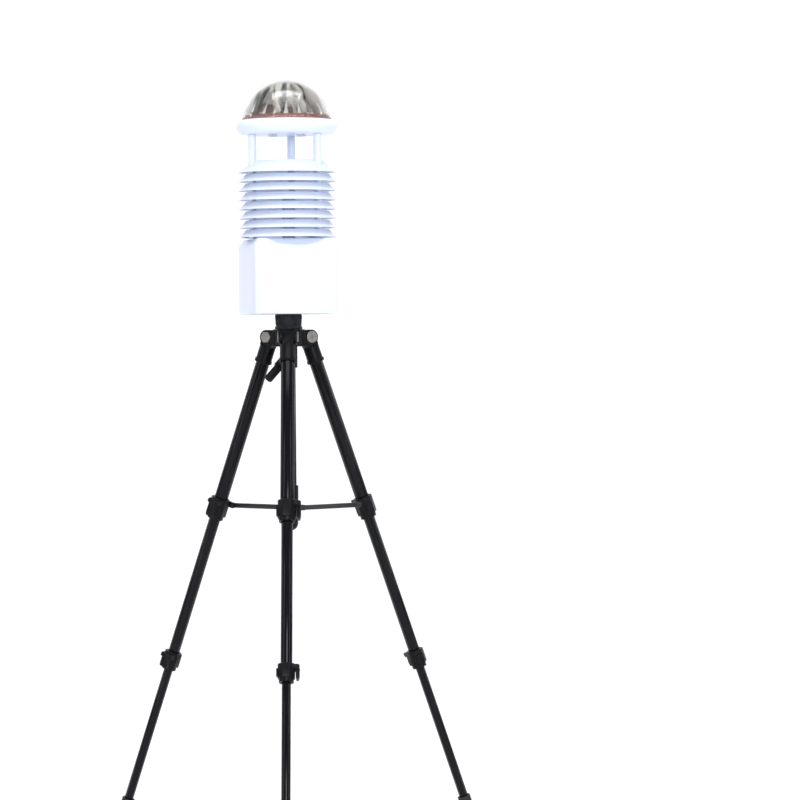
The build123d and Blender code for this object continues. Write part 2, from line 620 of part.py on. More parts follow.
with BuildPart() as housing:
    with BuildSketch(housing_plane.offset(HOUSING_BASE_Z)):
        RectangleRounded(HOUSING_SIDE, HOUSING_SIDE, HOUSING_CORNER)
    extrude(amount=HOUSING_HEIGHT - HOUSING_BEVEL_DOWN)
    with BuildSketch(housing_plane.offset(HOUSING_TOP - HOUSING_BEVEL_DOWN)):
        RectangleRounded(HOUSING_SIDE, HOUSING_SIDE, HOUSING_CORNER)
    extrude(amount=HOUSING_BEVEL_DOWN, taper=bevel_slope)
    with BuildSketch(housing_plane.offset(HOUSING_BASE_Z)):
        RectangleRounded(inner_side, inner_side, HOUSING_CORNER - HOUSING_WALL)
    extrude(amount=HOUSING_HEIGHT - HOUSING_BEVEL_DOWN - 1, mode=Mode.SUBTRACT)
    with BuildSketch(housing_plane.offset(HOUSING_TOP - HOUSING_BEVEL_DOWN - 1)):
        RectangleRounded(inner_side, inner_side, HOUSING_CORNER - HOUSING_WALL)
    extrude(amount=HOUSING_BEVEL_DOWN + 1 - HOUSING_WALL, taper=bevel_slope, mode=Mode.SUBTRACT)
    for corner in corners:
        disc_on(housing_plane, BASE_TOP, BASE_TOP + SCREW_BOSS_HEIGHT, SCREW_BOSS_RADIUS, corner)
        box_on(
            housing_plane,
            (min(corner[0], corner[0] * 1.17), corner[1] - 2, BASE_TOP),
            (max(corner[0], corner[0] * 1.17), corner[1] + 2, BASE_TOP + SCREW_BOSS_HEIGHT),
        )
        disc_on(
            housing_plane,
            BASE_TOP,
            BASE_TOP + SCREW_BOSS_HEIGHT - 2,
            SCREW_RADIUS + SEAT,
            corner,
            mode=Mode.SUBTRACT,
        )
    top_bores = HOUSING_TOP - HOUSING_BEVEL_DOWN
    disc_on(Plane.XY, top_bores, HOUSING_TOP, PROBE_RADIUS + SEAT, mode=Mode.SUBTRACT)
    for azimuth in POST_AZIMUTHS:
        at = (POST_CIRCLE_RADIUS * cos(radians(azimuth)), POST_CIRCLE_RADIUS * sin(radians(azimuth)))
        disc_on(Plane.XY, top_bores, HOUSING_TOP, ROD_RADIUS + SEAT, at, mode=Mode.SUBTRACT)
save(housing.part, "housing")

# ---- base plate of the housing: seat for the adaptor, insert boss, board posts ----
base_side = inner_side - 2 * GAP
insert_radius = SPIGOT_RADIUS + RUNNING + INSERT_WALL
insert_top = ADAPTOR_TOP + SPIGOT_LENGTH + 3
post_x = BOARD_LENGTH / 2 - 5
post_y = BOARD_WIDTH / 2 - 5
board_posts = [(x * post_x, y * post_y) for x in (-1, 1) for y in (-1, 1)]
board_base = BASE_TOP + BOARD_POST_HEIGHT
socket_at = (0, SOCKET_BACK)

with BuildPart() as housing_base:
    with BuildSketch(housing_plane.offset(BASE_BOTTOM)):
        RectangleRounded(base_side, base_side, HOUSING_CORNER - HOUSING_WALL - GAP)
    extrude(amount=BASE_THICKNESS)
    disc_on(housing_plane, ADAPTOR_TOP, BASE_BOTTOM, BASE_PAD_RADIUS)
    disc_on(housing_plane, BASE_TOP, insert_top, insert_radius + 3)
    for post in board_posts:
        disc_on(housing_plane, BASE_TOP, board_base, BOARD_POST_RADIUS, post)
    disc_on(housing_plane, ADAPTOR_TOP, insert_top, insert_radius + SEAT, mode=Mode.SUBTRACT)
    disc_on(
        housing_plane, BASE_BOTTOM, BASE_TOP, SOCKET_THREAD_RADIUS + SEAT, socket_at, mode=Mode.SUBTRACT
    )
    for corner in corners:
        disc_on(housing_plane, BASE_BOTTOM, BASE_TOP, SCREW_RADIUS + SEAT, corner, mode=Mode.SUBTRACT)
        disc_on(
            housing_plane,
            BASE_BOTTOM,
            BASE_BOTTOM + SCREW_HEAD_HEIGHT,
            SCREW_HEAD_RADIUS + SEAT,
            corner,
            mode=Mode.SUBTRACT,
        )
save(housing_base.part, "housing_base")

with BuildPart() as base_screws:
    for corner in corners:
        head_top = BASE_BOTTOM + SCREW_HEAD_HEIGHT
        disc_on(housing_plane, BASE_BOTTOM, head_top, SCREW_HEAD_RADIUS, corner)
        disc_on(housing_plane, head_top, head_top + SCREW_LENGTH, SCREW_RADIUS, corner)
        disc_on(housing_plane, BASE_BOTTOM, BASE_BOTTOM + 1, 1.2, corner, mode=Mode.SUBTRACT)
save(base_screws.part, "base_screws")

save(ring(Plane.XY, ADAPTOR_TOP, insert_top, insert_radius, SPIGOT_RADIUS + RUNNING), "mount_insert")

with BuildPart() as cable_socket:
    flange_base = BASE_BOTTOM - 1.5
    thread_base = flange_base - SOCKET_REACH + 1.5
    disc_on(housing_plane, flange_base, BASE_BOTTOM, SOCKET_FLANGE_RADIUS, socket_at)
    disc_on(housing_plane, thread_base, BASE_TOP + 6, SOCKET_THREAD_RADIUS, socket_at)
    disc_on(housing_plane, BASE_TOP, BASE_TOP + 3, SOCKET_FLANGE_RADIUS - 1, socket_at)
    disc_on(
        housing_plane,
        thread_base,
        thread_base + SOCKET_REACH - 2,
        SOCKET_THREAD_RADIUS - 1.4,
        socket_at,
        mode=Mode.SUBTRACT,
    )
save(cable_socket.part, "cable_socket")

with BuildPart() as control_board:
    with BuildSketch(housing_plane.offset(board_base)):
        Rectangle(BOARD_LENGTH, BOARD_WIDTH)
    extrude(amount=BOARD_THICKNESS)
    chip_base = board_base + BOARD_THICKNESS
    box_on(housing_plane, (-12, -12, chip_base), (12, 12, chip_base + 2.5))
    box_on(housing_plane, (20, -20, chip_base), (36, 4, chip_base + 9))
    box_on(housing_plane, (-36, 8, chip_base), (-18, 24, chip_base + 6))
save(control_board.part, "control_board")

# ---- radiation shield: cap, louvre plates, spacers, rods and probe ----
post_places = [
    (POST_CIRCLE_RADIUS * cos(radians(azimuth)), POST_CIRCLE_RADIUS * sin(radians(azimuth)))
    for azimuth in POST_AZIMUTHS
]
rod_bore = ROD_RADIUS + SEAT
lip = PLATE_THICKNESS * 0.75  # thickness of a plate measured along its slope's axis

with BuildPart() as shield_cap:
    with BuildSketch(Plane.XZ):
        with BuildLine():
            Polyline(
                (0, CAP_TOP),
                (CAP_TOP_RADIUS, CAP_TOP),
                (PLATE_RIM_RADIUS, CAP_RIM),
                (PLATE_RIM_RADIUS - lip, CAP_RIM),
                (PLATE_FLANGE_RADIUS, CAP_RIM + PLATE_DROP - PLATE_THICKNESS),
                (0, CAP_RIM + PLATE_DROP - PLATE_THICKNESS),
                close=True,
            )
        make_face()
    revolve(axis=Axis.Z)
    for place in post_places:
        disc_on(Plane.XY, CAP_RIM, CAP_TOP, rod_bore, place, mode=Mode.SUBTRACT)
save(shield_cap.part, "shield_cap")

with BuildPart() as shield_plates:
    for level in range(PLATE_COUNT):
        rim = LOWEST_RIM + level * PLATE_PITCH
        flange = rim + PLATE_DROP
        with BuildSketch(Plane.XZ):
            with BuildLine():
                Polyline(
                    (PLATE_BORE_RADIUS, flange),
                    (PLATE_FLANGE_RADIUS, flange),
                    (PLATE_RIM_RADIUS, rim),
                    (PLATE_RIM_RADIUS - lip, rim),
                    (PLATE_FLANGE_RADIUS - lip / 2, flange - PLATE_THICKNESS),
                    (PLATE_BORE_RADIUS, flange - PLATE_THICKNESS),
                    close=True,
                )
            make_face()
        revolve(axis=Axis.Z)
    for place in post_places:
        disc_on(Plane.XY, HOUSING_TOP, CAP_RIM, rod_bore, place, mode=Mode.SUBTRACT)
save(shield_plates.part, "shield_plates")

with BuildPart() as shield_spacers:
    for level in range(PLATE_COUNT + 1):
        above = LOWEST_RIM + level * PLATE_PITCH + PLATE_DROP - PLATE_THICKNESS
        below = HOUSING_TOP if level == 0 else above - PLATE_PITCH + PLATE_THICKNESS
        for place in post_places:
            disc_on(Plane.XY, below, above, SPACER_RADIUS, place)
            disc_on(Plane.XY, below, above, rod_bore, place, mode=Mode.SUBTRACT)
save(shield_spacers.part, "shield_spacers")

rod_base = HOUSING_TOP - HOUSING_WALL - 4
rod_top = DISC_BASE + DISC_WALL + 4
with BuildPart() as tie_rods:
    for place in post_places:
        disc_on(Plane.XY, rod_base, rod_top, ROD_RADIUS, place)
save(tie_rods.part, "tie_rods")

with BuildPart() as climate_probe:
    disc_on(Plane.XY, HOUSING_TOP - HOUSING_WALL - 5, HOUSING_TOP + PROBE_LENGTH, PROBE_RADIUS)
    fillet(climate_probe.faces().sort_by(Axis.Z)[-1].edges(), 3)
    disc_on(Plane.XY, HOUSING_TOP, HOUSING_TOP + 2, PROBE_FLANGE_RADIUS)
save(climate_probe.part, "climate_probe")

# ---- wind sensor: three posts, hollow disc and four transducers ----
column_foot = CAP_RIM + PLATE_DROP - PLATE_THICKNESS + GAP
with BuildPart() as wind_columns:
    for place in post_places:
        disc_on(Plane.XY, column_foot, DISC_BASE, COLUMN_POST_RADIUS, place)
    add(shield_cap.part, mode=Mode.SUBTRACT)
    for place in post_places:
        disc_on(Plane.XY, column_foot, DISC_BASE, rod_bore, place, mode=Mode.SUBTRACT)
save(wind_columns.part, "wind_columns")

transducer_places = [
    (TRANSDUCER_CIRCLE * cos(radians(45 + 90 * i)), TRANSDUCER_CIRCLE * sin(radians(45 + 90 * i)))
    for i in range(4)
]
disc_middle = DISC_BASE + DISC_THICKNESS * 0.5
with BuildPart() as top_disc:
    with BuildSketch(Plane.XZ):
        with BuildLine():
            Line((0, DISC_BASE), (DISC_FLAT_BOTTOM_RADIUS, DISC_BASE))
            ThreePointArc(
                (DISC_FLAT_BOTTOM_RADIUS, DISC_BASE),
                (DISC_RADIUS, disc_middle),
                (DISC_FLAT_TOP_RADIUS, DISC_TOP),
            )
            Polyline(
                (DISC_FLAT_TOP_RADIUS, DISC_TOP),
                (SENSOR_BOARD_RADIUS - 6, DISC_TOP),
                (SENSOR_BOARD_RADIUS - 6, DISC_BASE + DISC_WALL),
                (0, DISC_BASE + DISC_WALL),
                (0, DISC_BASE),
            )
        make_face()
    revolve(axis=Axis.Z)
    for place in transducer_places:
        disc_on(Plane.XY, DISC_BASE, DISC_TOP, TRANSDUCER_RADIUS + SEAT, place, mode=Mode.SUBTRACT)
    for place in post_places:
        disc_on(Plane.XY, DISC_BASE, DISC_TOP - 3, rod_bore, place, mode=Mode.SUBTRACT)
save(top_disc.part, "top_disc")

with BuildPart() as ultrasonic_transducers:
    for place in transducer_places:
        face = DISC_BASE - TRANSDUCER_PROUD
        disc_on(Plane.XY, face, face + TRANSDUCER_HEIGHT, TRANSDUCER_RADIUS, place)
        disc_on(Plane.XY, face, face + 0.6, TRANSDUCER_RADIUS - 1.2, place, mode=Mode.SUBTRACT)
save(ultrasonic_transducers.part, "ultrasonic_transducers")

# ---- rain sensor: board, seal, infrared modules, light pipes and dome ----
with BuildPart() as rain_sensor_board:
    disc_on(Plane.XY, SENSOR_BOARD_BASE, MODULE_BASE, SENSOR_BOARD_RADIUS)
save(rain_sensor_board.part, "rain_sensor_board")

seal_bore = DOME_RADIUS - SEAL_WIDTH
with BuildPart() as dome_seal:
    disc_on(Plane.XY, DISC_TOP, DOME_BASE, DOME_RADIUS)
    disc_on(Plane.XY, DISC_TOP, DISC_TOP + SEAL_LIP_HEIGHT, seal_bore + SEAL_LIP_WIDTH)
    disc_on(Plane.XY, DISC_TOP, DISC_TOP + SEAL_LIP_HEIGHT, seal_bore, mode=Mode.SUBTRACT)
save(dome_seal.part, "dome_seal")

lobe_azimuths = [LOBE_START_AZIMUTH + 360 * i / LOBE_COUNT for i in range(LOBE_COUNT)]
lobe_base = MODULE_BASE + MODULE_HEIGHT
with BuildPart() as infrared_modules:
    for azimuth in lobe_azimuths:
        module_plane = Plane.XY.rotated((0, 0, azimuth))
        half = MODULE_SIDE / 2
        box_on(
            module_plane,
            (MODULE_CIRCLE - half, -half, MODULE_BASE),
            (MODULE_CIRCLE + half, half, lobe_base),
        )
save(infrared_modules.part, "infrared_modules")

dome_ball = (DOME_RADIUS**2 + DOME_HEIGHT**2) / (2 * DOME_HEIGHT)
dome_centre = DOME_BASE + DOME_HEIGHT - dome_ball
dome_inner = dome_ball - DOME_WALL
inner_foot = sqrt(dome_inner**2 - (DOME_BASE - dome_centre) ** 2)
with BuildPart() as rain_dome:
    with BuildSketch(Plane.XZ):
        with BuildLine():
            RadiusArc((DOME_RADIUS, DOME_BASE), (0, DOME_BASE + DOME_HEIGHT), -dome_ball)
            Line((0, DOME_BASE + DOME_HEIGHT), (0, dome_centre + dome_inner))
            RadiusArc((0, dome_centre + dome_inner), (inner_foot, DOME_BASE), dome_inner)
            Line((inner_foot, DOME_BASE), (DOME_RADIUS, DOME_BASE))
        make_face()
    revolve(axis=Axis.Z)
save(rain_dome.part, "rain_dome")

with BuildPart() as dome_light_pipes:
    for index, azimuth in enumerate(lobe_azimuths):
        top_radius = LOBE_TOP_RADII[index % 2]
        out = Vector(cos(radians(azimuth)), sin(radians(azimuth)), 0)
        foot = out * MODULE_CIRCLE + Vector(0, 0, lobe_base)
        top = out * LOBE_TOP_CIRCLE + Vector(0, 0, dome_centre + dome_inner)
        lobe_plane = Plane(origin=foot, z_dir=top - foot)
        with BuildSketch(lobe_plane):
            Circle(LOBE_FOOT_RADIUS)
        with BuildSketch(lobe_plane.offset((top - foot).length)):
            Circle(top_radius)
        loft()
    split(bisect_by=Plane.XY.offset(lobe_base), keep=Keep.TOP)
    with Locations((0, 0, dome_centre)):
        Sphere(dome_inner - GAP, mode=Mode.INTERSECT)
save(dome_light_pipes.part, "dome_light_pipes")
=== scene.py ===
import json
import math

import bmesh
import bpy
from mathutils import Matrix, Vector


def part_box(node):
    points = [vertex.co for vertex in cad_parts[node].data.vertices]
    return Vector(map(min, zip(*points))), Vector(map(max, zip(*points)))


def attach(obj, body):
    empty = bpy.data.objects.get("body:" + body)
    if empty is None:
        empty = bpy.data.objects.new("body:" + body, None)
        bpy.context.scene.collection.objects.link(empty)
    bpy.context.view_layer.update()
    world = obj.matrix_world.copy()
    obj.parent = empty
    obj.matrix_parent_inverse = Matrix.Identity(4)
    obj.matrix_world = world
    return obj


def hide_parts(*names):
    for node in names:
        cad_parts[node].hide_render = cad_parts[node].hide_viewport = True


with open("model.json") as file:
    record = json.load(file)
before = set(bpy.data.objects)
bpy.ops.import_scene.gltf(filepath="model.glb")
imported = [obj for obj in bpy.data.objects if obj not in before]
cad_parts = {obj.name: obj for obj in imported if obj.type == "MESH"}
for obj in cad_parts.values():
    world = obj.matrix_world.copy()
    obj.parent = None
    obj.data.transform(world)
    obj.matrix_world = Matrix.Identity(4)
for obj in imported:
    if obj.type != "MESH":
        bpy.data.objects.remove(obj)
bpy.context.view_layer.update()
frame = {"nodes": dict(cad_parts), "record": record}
record = frame["record"]
bodies = record["behaviour"]["bodies"]
joints = {joint["name"]: joint for joint in record["behaviour"]["joints"]}
MM = 0.001

# ---------------------------------------------------------------------------
# Studio: one sweep of pale paper, floor and wall in one, lit by a large soft
# box overhead, two tall side boxes that draw the lines on the black tubes, and
# a broad white surround. The camera looks almost level from above mid height.
# ---------------------------------------------------------------------------


def shader(name):
    """New node material; returns it with its nodes, a wiring function and its Principled shader."""
    material = bpy.data.materials.new(name)
    material.use_nodes = True
    tree = material.node_tree
    principled = tree.nodes["Principled BSDF"]
    return material, tree.nodes, tree.links.new, principled


def node(nodes, kind, **sockets):
    """New node of a kind, with its inputs set by name and its properties by attribute."""
    made = nodes.new(kind)
    for name, value in sockets.items():
        label = name.replace("_", " ")
        if label in made.inputs:
            made.inputs[label].default_value = value
        else:
            setattr(made, name, value)
    return made


def paper_material():
    """Matt paper with a faint mottle."""
    material, nodes, wire, principled = shader("sweep_paper")
    place = node(nodes, "ShaderNodeTexCoord")
    mottle = node(nodes, "ShaderNodeTexNoise", Scale=3.0, Detail=3.0)
    ramp = node(nodes, "ShaderNodeValToRGB")
    ramp.color_ramp.elements[0].color = (0.90, 0.90, 0.91, 1)
    ramp.color_ramp.elements[1].color = (0.94, 0.94, 0.95, 1)
    wire(place.outputs["Object"], mottle.inputs["Vector"])
    wire(mottle.outputs["Fac"], ramp.inputs["Fac"])
    wire(ramp.outputs["Color"], principled.inputs["Base Color"])
    principled.inputs["Roughness"].default_value = 0.9
    return material


SWEEP_HALF_WIDTH = 9.0
SWEEP_FRONT = -9.0
SWEEP_BACK = 3.5
SWEEP_BEND = 2.5
SWEEP_HEIGHT = 9.0
SWEEP_STEPS = 16
sweep_line = [(SWEEP_FRONT, 0.0)]
for step in range(SWEEP_STEPS + 1):
    turn = math.pi / 2 * step / SWEEP_STEPS
    y = SWEEP_BACK + SWEEP_BEND * math.sin(turn)
    sweep_line.append((y, SWEEP_BEND * (1 - math.cos(turn))))
sweep_line.append((SWEEP_BACK + SWEEP_BEND, SWEEP_HEIGHT))
sweep_mesh = bpy.data.meshes.new("paper_sweep")
sweep_points = [(x, y, z) for x in (-SWEEP_HALF_WIDTH, SWEEP_HALF_WIDTH) for y, z in sweep_line]
row = len(sweep_line)
sweep_faces = [(i, i + row, i + row + 1, i + 1) for i in range(row - 1)]
sweep_mesh.from_pydata(sweep_points, [], sweep_faces)
sweep_mesh.polygons.foreach_set("use_smooth", [True] * len(sweep_faces))
sweep = bpy.data.objects.new("paper_sweep", sweep_mesh)
bpy.context.scene.collection.objects.link(sweep)
sweep_mesh.materials.append(paper_material())

world = bpy.data.worlds.new("white_surround")
bpy.context.scene.world = world
world.use_nodes = True
surround = world.node_tree.nodes["Background"]
surround.inputs["Color"].default_value = (0.93, 0.95, 1.0, 1)
surround.inputs["Strength"].default_value = 0.3


def soft_box(name, place, aim, width, height, power):
    """Rectangular studio light at a place, turned towards a point."""
    lamp = bpy.data.lights.new(name, "AREA")
    lamp.shape = "RECTANGLE"
    lamp.size = width
    lamp.size_y = height
    lamp.energy = power
    holder = bpy.data.objects.new(name, lamp)
    holder.location = place
    holder.rotation_euler = (Vector(aim) - Vector(place)).to_track_quat("-Z", "Y").to_euler()
    bpy.context.scene.collection.objects.link(holder)


MIDDLE = (0, 0, 0.6)
soft_box("overhead_box", (0, -0.8, 3.4), (0, 0, 0.8), 2.6, 2.6, 82)
soft_box("left_box", (-2.6, -1.8, 1.1), MIDDLE, 0.22, 2.4, 20)
soft_box("right_box", (2.6, -1.4, 1.1), MIDDLE, 0.18, 2.4, 15)
soft_box("front_box", (0.9, -4.5, 1.7), (0, 0, 0.9), 1.6, 1.6, 88)
for side in (-1, 1):
    soft_box("backdrop_box", (3.4 * side, 1.6, 2.2), (0.8 * side, 6, 1.4), 1.5, 3.0, 120)

CAMERA_LENS = 202.5
CAMERA_SENSOR = 36
CAMERA_DISTANCE = 6.57
CAMERA_ASIDE = 0.1621
CAMERA_HEIGHT = 0.6638
CAMERA_TILT = math.radians(90 - 0.395)
CAMERA_ROLL = math.radians(0.5)
CAMERA_ORBIT = math.radians(0.604)
camera_data = bpy.data.cameras.new("studio_camera")
camera_data.lens = CAMERA_LENS
camera_data.sensor_width = CAMERA_SENSOR
camera = bpy.data.objects.new("studio_camera", camera_data)
orbit = Matrix.Rotation(CAMERA_ORBIT, 3, "Z")
camera.location = orbit @ Vector((CAMERA_ASIDE, -CAMERA_DISTANCE, CAMERA_HEIGHT))
camera.rotation_euler = (CAMERA_TILT, CAMERA_ROLL, CAMERA_ORBIT)
bpy.context.scene.collection.objects.link(camera)
bpy.context.scene.camera = camera
bpy.context.scene.view_settings.view_transform = "Standard"

# ---------------------------------------------------------------------------
# Tripod leg tubes: drawn aluminium, black anodised and glossy. Three shallow
# grooves run down each tube and keep it from turning in the one above.
# ---------------------------------------------------------------------------


def colour_mix(nodes):
    """New colour mix node; returns its factor, its two colour inputs and its result."""
    mix = node(nodes, "ShaderNodeMix", data_type="RGBA")
    first, second = [s for s in mix.inputs if s.type == "RGBA"]
    result = next(s for s in mix.outputs if s.type == "RGBA")
    return mix.inputs["Factor"], first, second, result


def new_group(name, inputs, outputs):
    """Empty shader node group with named inputs (name, kind, default) and outputs."""
    tree = bpy.data.node_groups.new(name, "ShaderNodeTree")
    for label, kind, default in inputs:
        socket = tree.interface.new_socket(label, in_out="INPUT", socket_type=kind)
        if default is not None:
            socket.default_value = default
    for label, kind in outputs:
        tree.interface.new_socket(label, in_out="OUTPUT", socket_type=kind)
    entry = tree.nodes.new("NodeGroupInput")
    leave = tree.nodes.new("NodeGroupOutput")
    return tree, tree.nodes, tree.links.new, entry, leave


def grain_group():
    """Fine and coarse surface grain: a height for bump and a slow mottle mask."""
    tree, nodes, wire, entry, leave = new_group(
        "surface_grain",
        [
            ("Place", "NodeSocketVector", None),
            ("Fine", "NodeSocketFloat", 900.0),
            ("Coarse", "NodeSocketFloat", 22.0),
        ],
        [("Height", "NodeSocketFloat"), ("Mottle", "NodeSocketFloat")],
    )
    fine = node(nodes, "ShaderNodeTexNoise", Detail=2.0)
    coarse = node(nodes, "ShaderNodeTexNoise", Detail=4.0)
    blend = node(nodes, "ShaderNodeMath", operation="MULTIPLY_ADD")
    blend.inputs[1].default_value = 0.35
    wire(entry.outputs["Place"], fine.inputs["Vector"])
    wire(entry.outputs["Place"], coarse.inputs["Vector"])
    wire(entry.outputs["Fine"], fine.inputs["Scale"])
    wire(entry.outputs["Coarse"], coarse.inputs["Scale"])
    wire(coarse.outputs["Fac"], blend.inputs[0])
    wire(fine.outputs["Fac"], blend.inputs[2])
    wire(blend.outputs["Value"], leave.inputs["Height"])
    wire(coarse.outputs["Fac"], leave.inputs["Mottle"])
    return tree


def wear_group():
    """Mask that is high on outer edges, broken up by noise."""
    tree, nodes, wire, entry, leave = new_group(
        "edge_wear",
        [
            ("Place", "NodeSocketVector", None),
            ("Width", "NodeSocketFloat", 0.001),
            ("Amount", "NodeSocketFloat", 1.0),
        ],
        [("Wear", "NodeSocketFloat")],
    )
    bevel = node(nodes, "ShaderNodeBevel", samples=4)
    surface = node(nodes, "ShaderNodeNewGeometry")
    facing = node(nodes, "ShaderNodeVectorMath", operation="DOT_PRODUCT")
    edge = node(nodes, "ShaderNodeMapRange")
    edge.inputs["From Min"].default_value = 0.995
    edge.inputs["From Max"].default_value = 0.85
    breakup = node(nodes, "ShaderNodeTexNoise", Scale=140.0, Detail=5.0)
    patch = node(nodes, "ShaderNodeMapRange")
    patch.inputs["From Min"].default_value = 0.42
    patch.inputs["From Max"].default_value = 0.62
    both = node(nodes, "ShaderNodeMath", operation="MULTIPLY")
    scaled = node(nodes, "ShaderNodeMath", operation="MULTIPLY")
    wire(entry.outputs["Width"], bevel.inputs["Radius"])
    wire(bevel.outputs["Normal"], facing.inputs[0])
    wire(surface.outputs["Normal"], facing.inputs[1])
    wire(facing.outputs["Value"], edge.inputs["Value"])
    wire(entry.outputs["Place"], breakup.inputs["Vector"])
    wire(breakup.outputs["Fac"], patch.inputs["Value"])
    wire(edge.outputs["Result"], both.inputs[0])
    wire(patch.outputs["Result"], both.inputs[1])
    wire(both.outputs["Value"], scaled.inputs[0])
    wire(entry.outputs["Amount"], scaled.inputs[1])
    wire(scaled.outputs["Value"], leave.inputs["Wear"])
    return tree


GRAIN = grain_group()
GRAIN_DEPTH = 0.4 * MM
WEAR = wear_group()
WEAR_WIDTH = 0.8 * MM


def finish_material(
    name,
    dark,
    light,
    rough,
    bump,
    fine=900.0,
    coarse=22.0,
    wear=0.0,
    worn=(0.3, 0.3, 0.3),
    metallic=0.0,
    coat=0.0,
    specular=0.5,
):
    """Solid finish: mottled colour, varied roughness, grain bump and worn edges."""
    material, nodes, wire, principled = shader(name)
    place = node(nodes, "ShaderNodeTexCoord")
    grain = node(nodes, "ShaderNodeGroup", node_tree=GRAIN)
    grain.inputs["Fine"].default_value = fine
    grain.inputs["Coarse"].default_value = coarse
    wire(place.outputs["Object"], grain.inputs["Place"])
    share, dark_in, light_in, colour_out = colour_mix(nodes)
    dark_in.default_value = (*dark, 1)
    light_in.default_value = (*light, 1)
    wire(grain.outputs["Mottle"], share)
    gloss = node(nodes, "ShaderNodeMapRange")
    gloss.inputs["To Min"].default_value = rough[0]
    gloss.inputs["To Max"].default_value = rough[1]
    wire(grain.outputs["Mottle"], gloss.inputs["Value"])
    if wear > 0:
        edge = node(nodes, "ShaderNodeGroup", node_tree=WEAR)
        edge.inputs["Width"].default_value = WEAR_WIDTH
        edge.inputs["Amount"].default_value = wear
        wire(place.outputs["Object"], edge.inputs["Place"])
        share, whole_in, worn_in, rubbed = colour_mix(nodes)
        worn_in.default_value = (*worn, 1)
        wire(edge.outputs["Wear"], share)
        wire(colour_out, whole_in)
        colour_out = rubbed
    wire(colour_out, principled.inputs["Base Color"])
    wire(gloss.outputs["Result"], principled.inputs["Roughness"])
    relief = node(nodes, "ShaderNodeBump", Strength=bump, Distance=GRAIN_DEPTH)
    wire(grain.outputs["Height"], relief.inputs["Height"])
    wire(relief.outputs["Normal"], principled.inputs["Normal"])
    principled.inputs["Metallic"].default_value = metallic
    principled.inputs["Coat Weight"].default_value = coat
    principled.inputs["Coat Roughness"].default_value = 0.12
    principled.inputs["Specular IOR Level"].default_value = specular
    return material


def new_piece(name, mesh):
    """Smooth-shaded object for a finished mesh, linked to the scene."""
    mesh.polygons.foreach_set("use_smooth", [True] * len(mesh.polygons))
    made = bpy.data.objects.new(name, mesh)
    bpy.context.scene.collection.objects.link(made)
    return made


def body_of(cad_node):
    """CAD body that a node belongs to."""
    return next(body for body, members in bodies.items() if cad_node in members)


def stand_for(piece, material, *cad_nodes):
    """Give a piece its material and let it stand for CAD nodes of one body."""
    piece.data.materials.clear()
    piece.data.materials.append(material)
    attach(piece, body_of(cad_nodes[0]))
    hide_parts(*cad_nodes)


def mesh_from(name, points, faces):
    """Closed mesh from points and faces, doubles merged and faces turned outwards."""
    mesh = bpy.data.meshes.new(name)
    shape = bmesh.new()
    corners = [shape.verts.new(p) for p in points]
    for face in faces:
        shape.faces.new([corners[i] for i in face])
    bmesh.ops.remove_doubles(shape, verts=shape.verts, dist=1e-7)
    bmesh.ops.recalc_face_normals(shape, faces=shape.faces)
    shape.to_mesh(mesh)
    shape.free()
    return mesh


def rounded(outline, radius, steps=4):
    """Closed outline with each corner off the axis turned into a short curve."""
    made = []
    count = len(outline)
    for i, corner in enumerate(outline):
        corner = Vector(corner)
        before = Vector(outline[i - 1])
        after = Vector(outline[(i + 1) % count])
        if corner.x < 1e-6:
            made.append(tuple(corner))
            continue
        back = before - corner
        ahead = after - corner
        cut = min(radius, 0.45 * back.length, 0.45 * ahead.length)
        start = corner + back.normalized() * cut
        end = corner + ahead.normalized() * cut
        for step in range(steps + 1):
            t = step / steps
            made.append(tuple(start * (1 - t) ** 2 + corner * 2 * t * (1 - t) + end * t * t))
    return made


def lathe(name, outline, around, place=Matrix.Identity(4), groove=None):
    """Outline of (radius, height) turned about Z, then moved by a matrix."""
    points = []
    rings = []
    for radius, height in outline:
        if radius < 1e-7:
            rings.append([len(points)] * around)
            points.append(place @ Vector((0, 0, height)))
            continue
        start = len(points)
        for i in range(around):
            angle = 2 * math.pi * i / around
            r = radius - (groove(angle) if groove else 0.0)
            points.append(place @ Vector((r * math.cos(angle), r * math.sin(angle), height)))
        rings.append(list(range(start, start + around)))
    faces = []
    for first, second in zip(rings, rings[1:] + rings[:1]):
        for i in range(around):
            k = (i + 1) % around
            corner_loop = [first[i], first[k], second[k], second[i]]
            unique = list(dict.fromkeys(corner_loop))
            if len(unique) > 2:
                faces.append(unique)
    return mesh_from(name, points, faces)


def leg_matrix(name):
    """Frame of a leg at rest: origin on its pivot, X along the pivot, Z down the leg."""
    fold = joints[f"{name}_leg_fold"]
    down = -Vector(joints[f"{name}_middle_slide"]["axis"])
    across = Vector(fold["axis"])
    out = down.cross(across)
    turned = Matrix((across, out, down)).transposed().to_4x4()
    return Matrix.Translation(fold["pos_m"]) @ turned


TUBE_BLACK = finish_material(
    "tube_black_anodised",
    (0.003, 0.003, 0.004),
    (0.007, 0.006, 0.008),
    (0.09, 0.16),
    0.05,
    fine=1400.0,
    coarse=30.0,
    specular=0.16,
)
GROOVE_DEPTH = 0.35 * MM
GROOVE_HALF_ANGLE = math.radians(11)


def three_grooves(angle):
    """Depth of the drawn grooves at an angle round the tube."""
    away = (angle + math.pi / 6) % (2 * math.pi / 3) - math.pi / 3
    return GROOVE_DEPTH * math.exp(-((away / GROOVE_HALF_ANGLE) ** 2))


def tube_line(radius, wall, start, end):
    """Outline of a cut tube with its edges broken."""
    inner = radius - wall
    return rounded([(inner, start), (radius, start), (radius, end), (inner, end)], 0.3 * MM, 2)


LEGS = ("front", "left", "right")
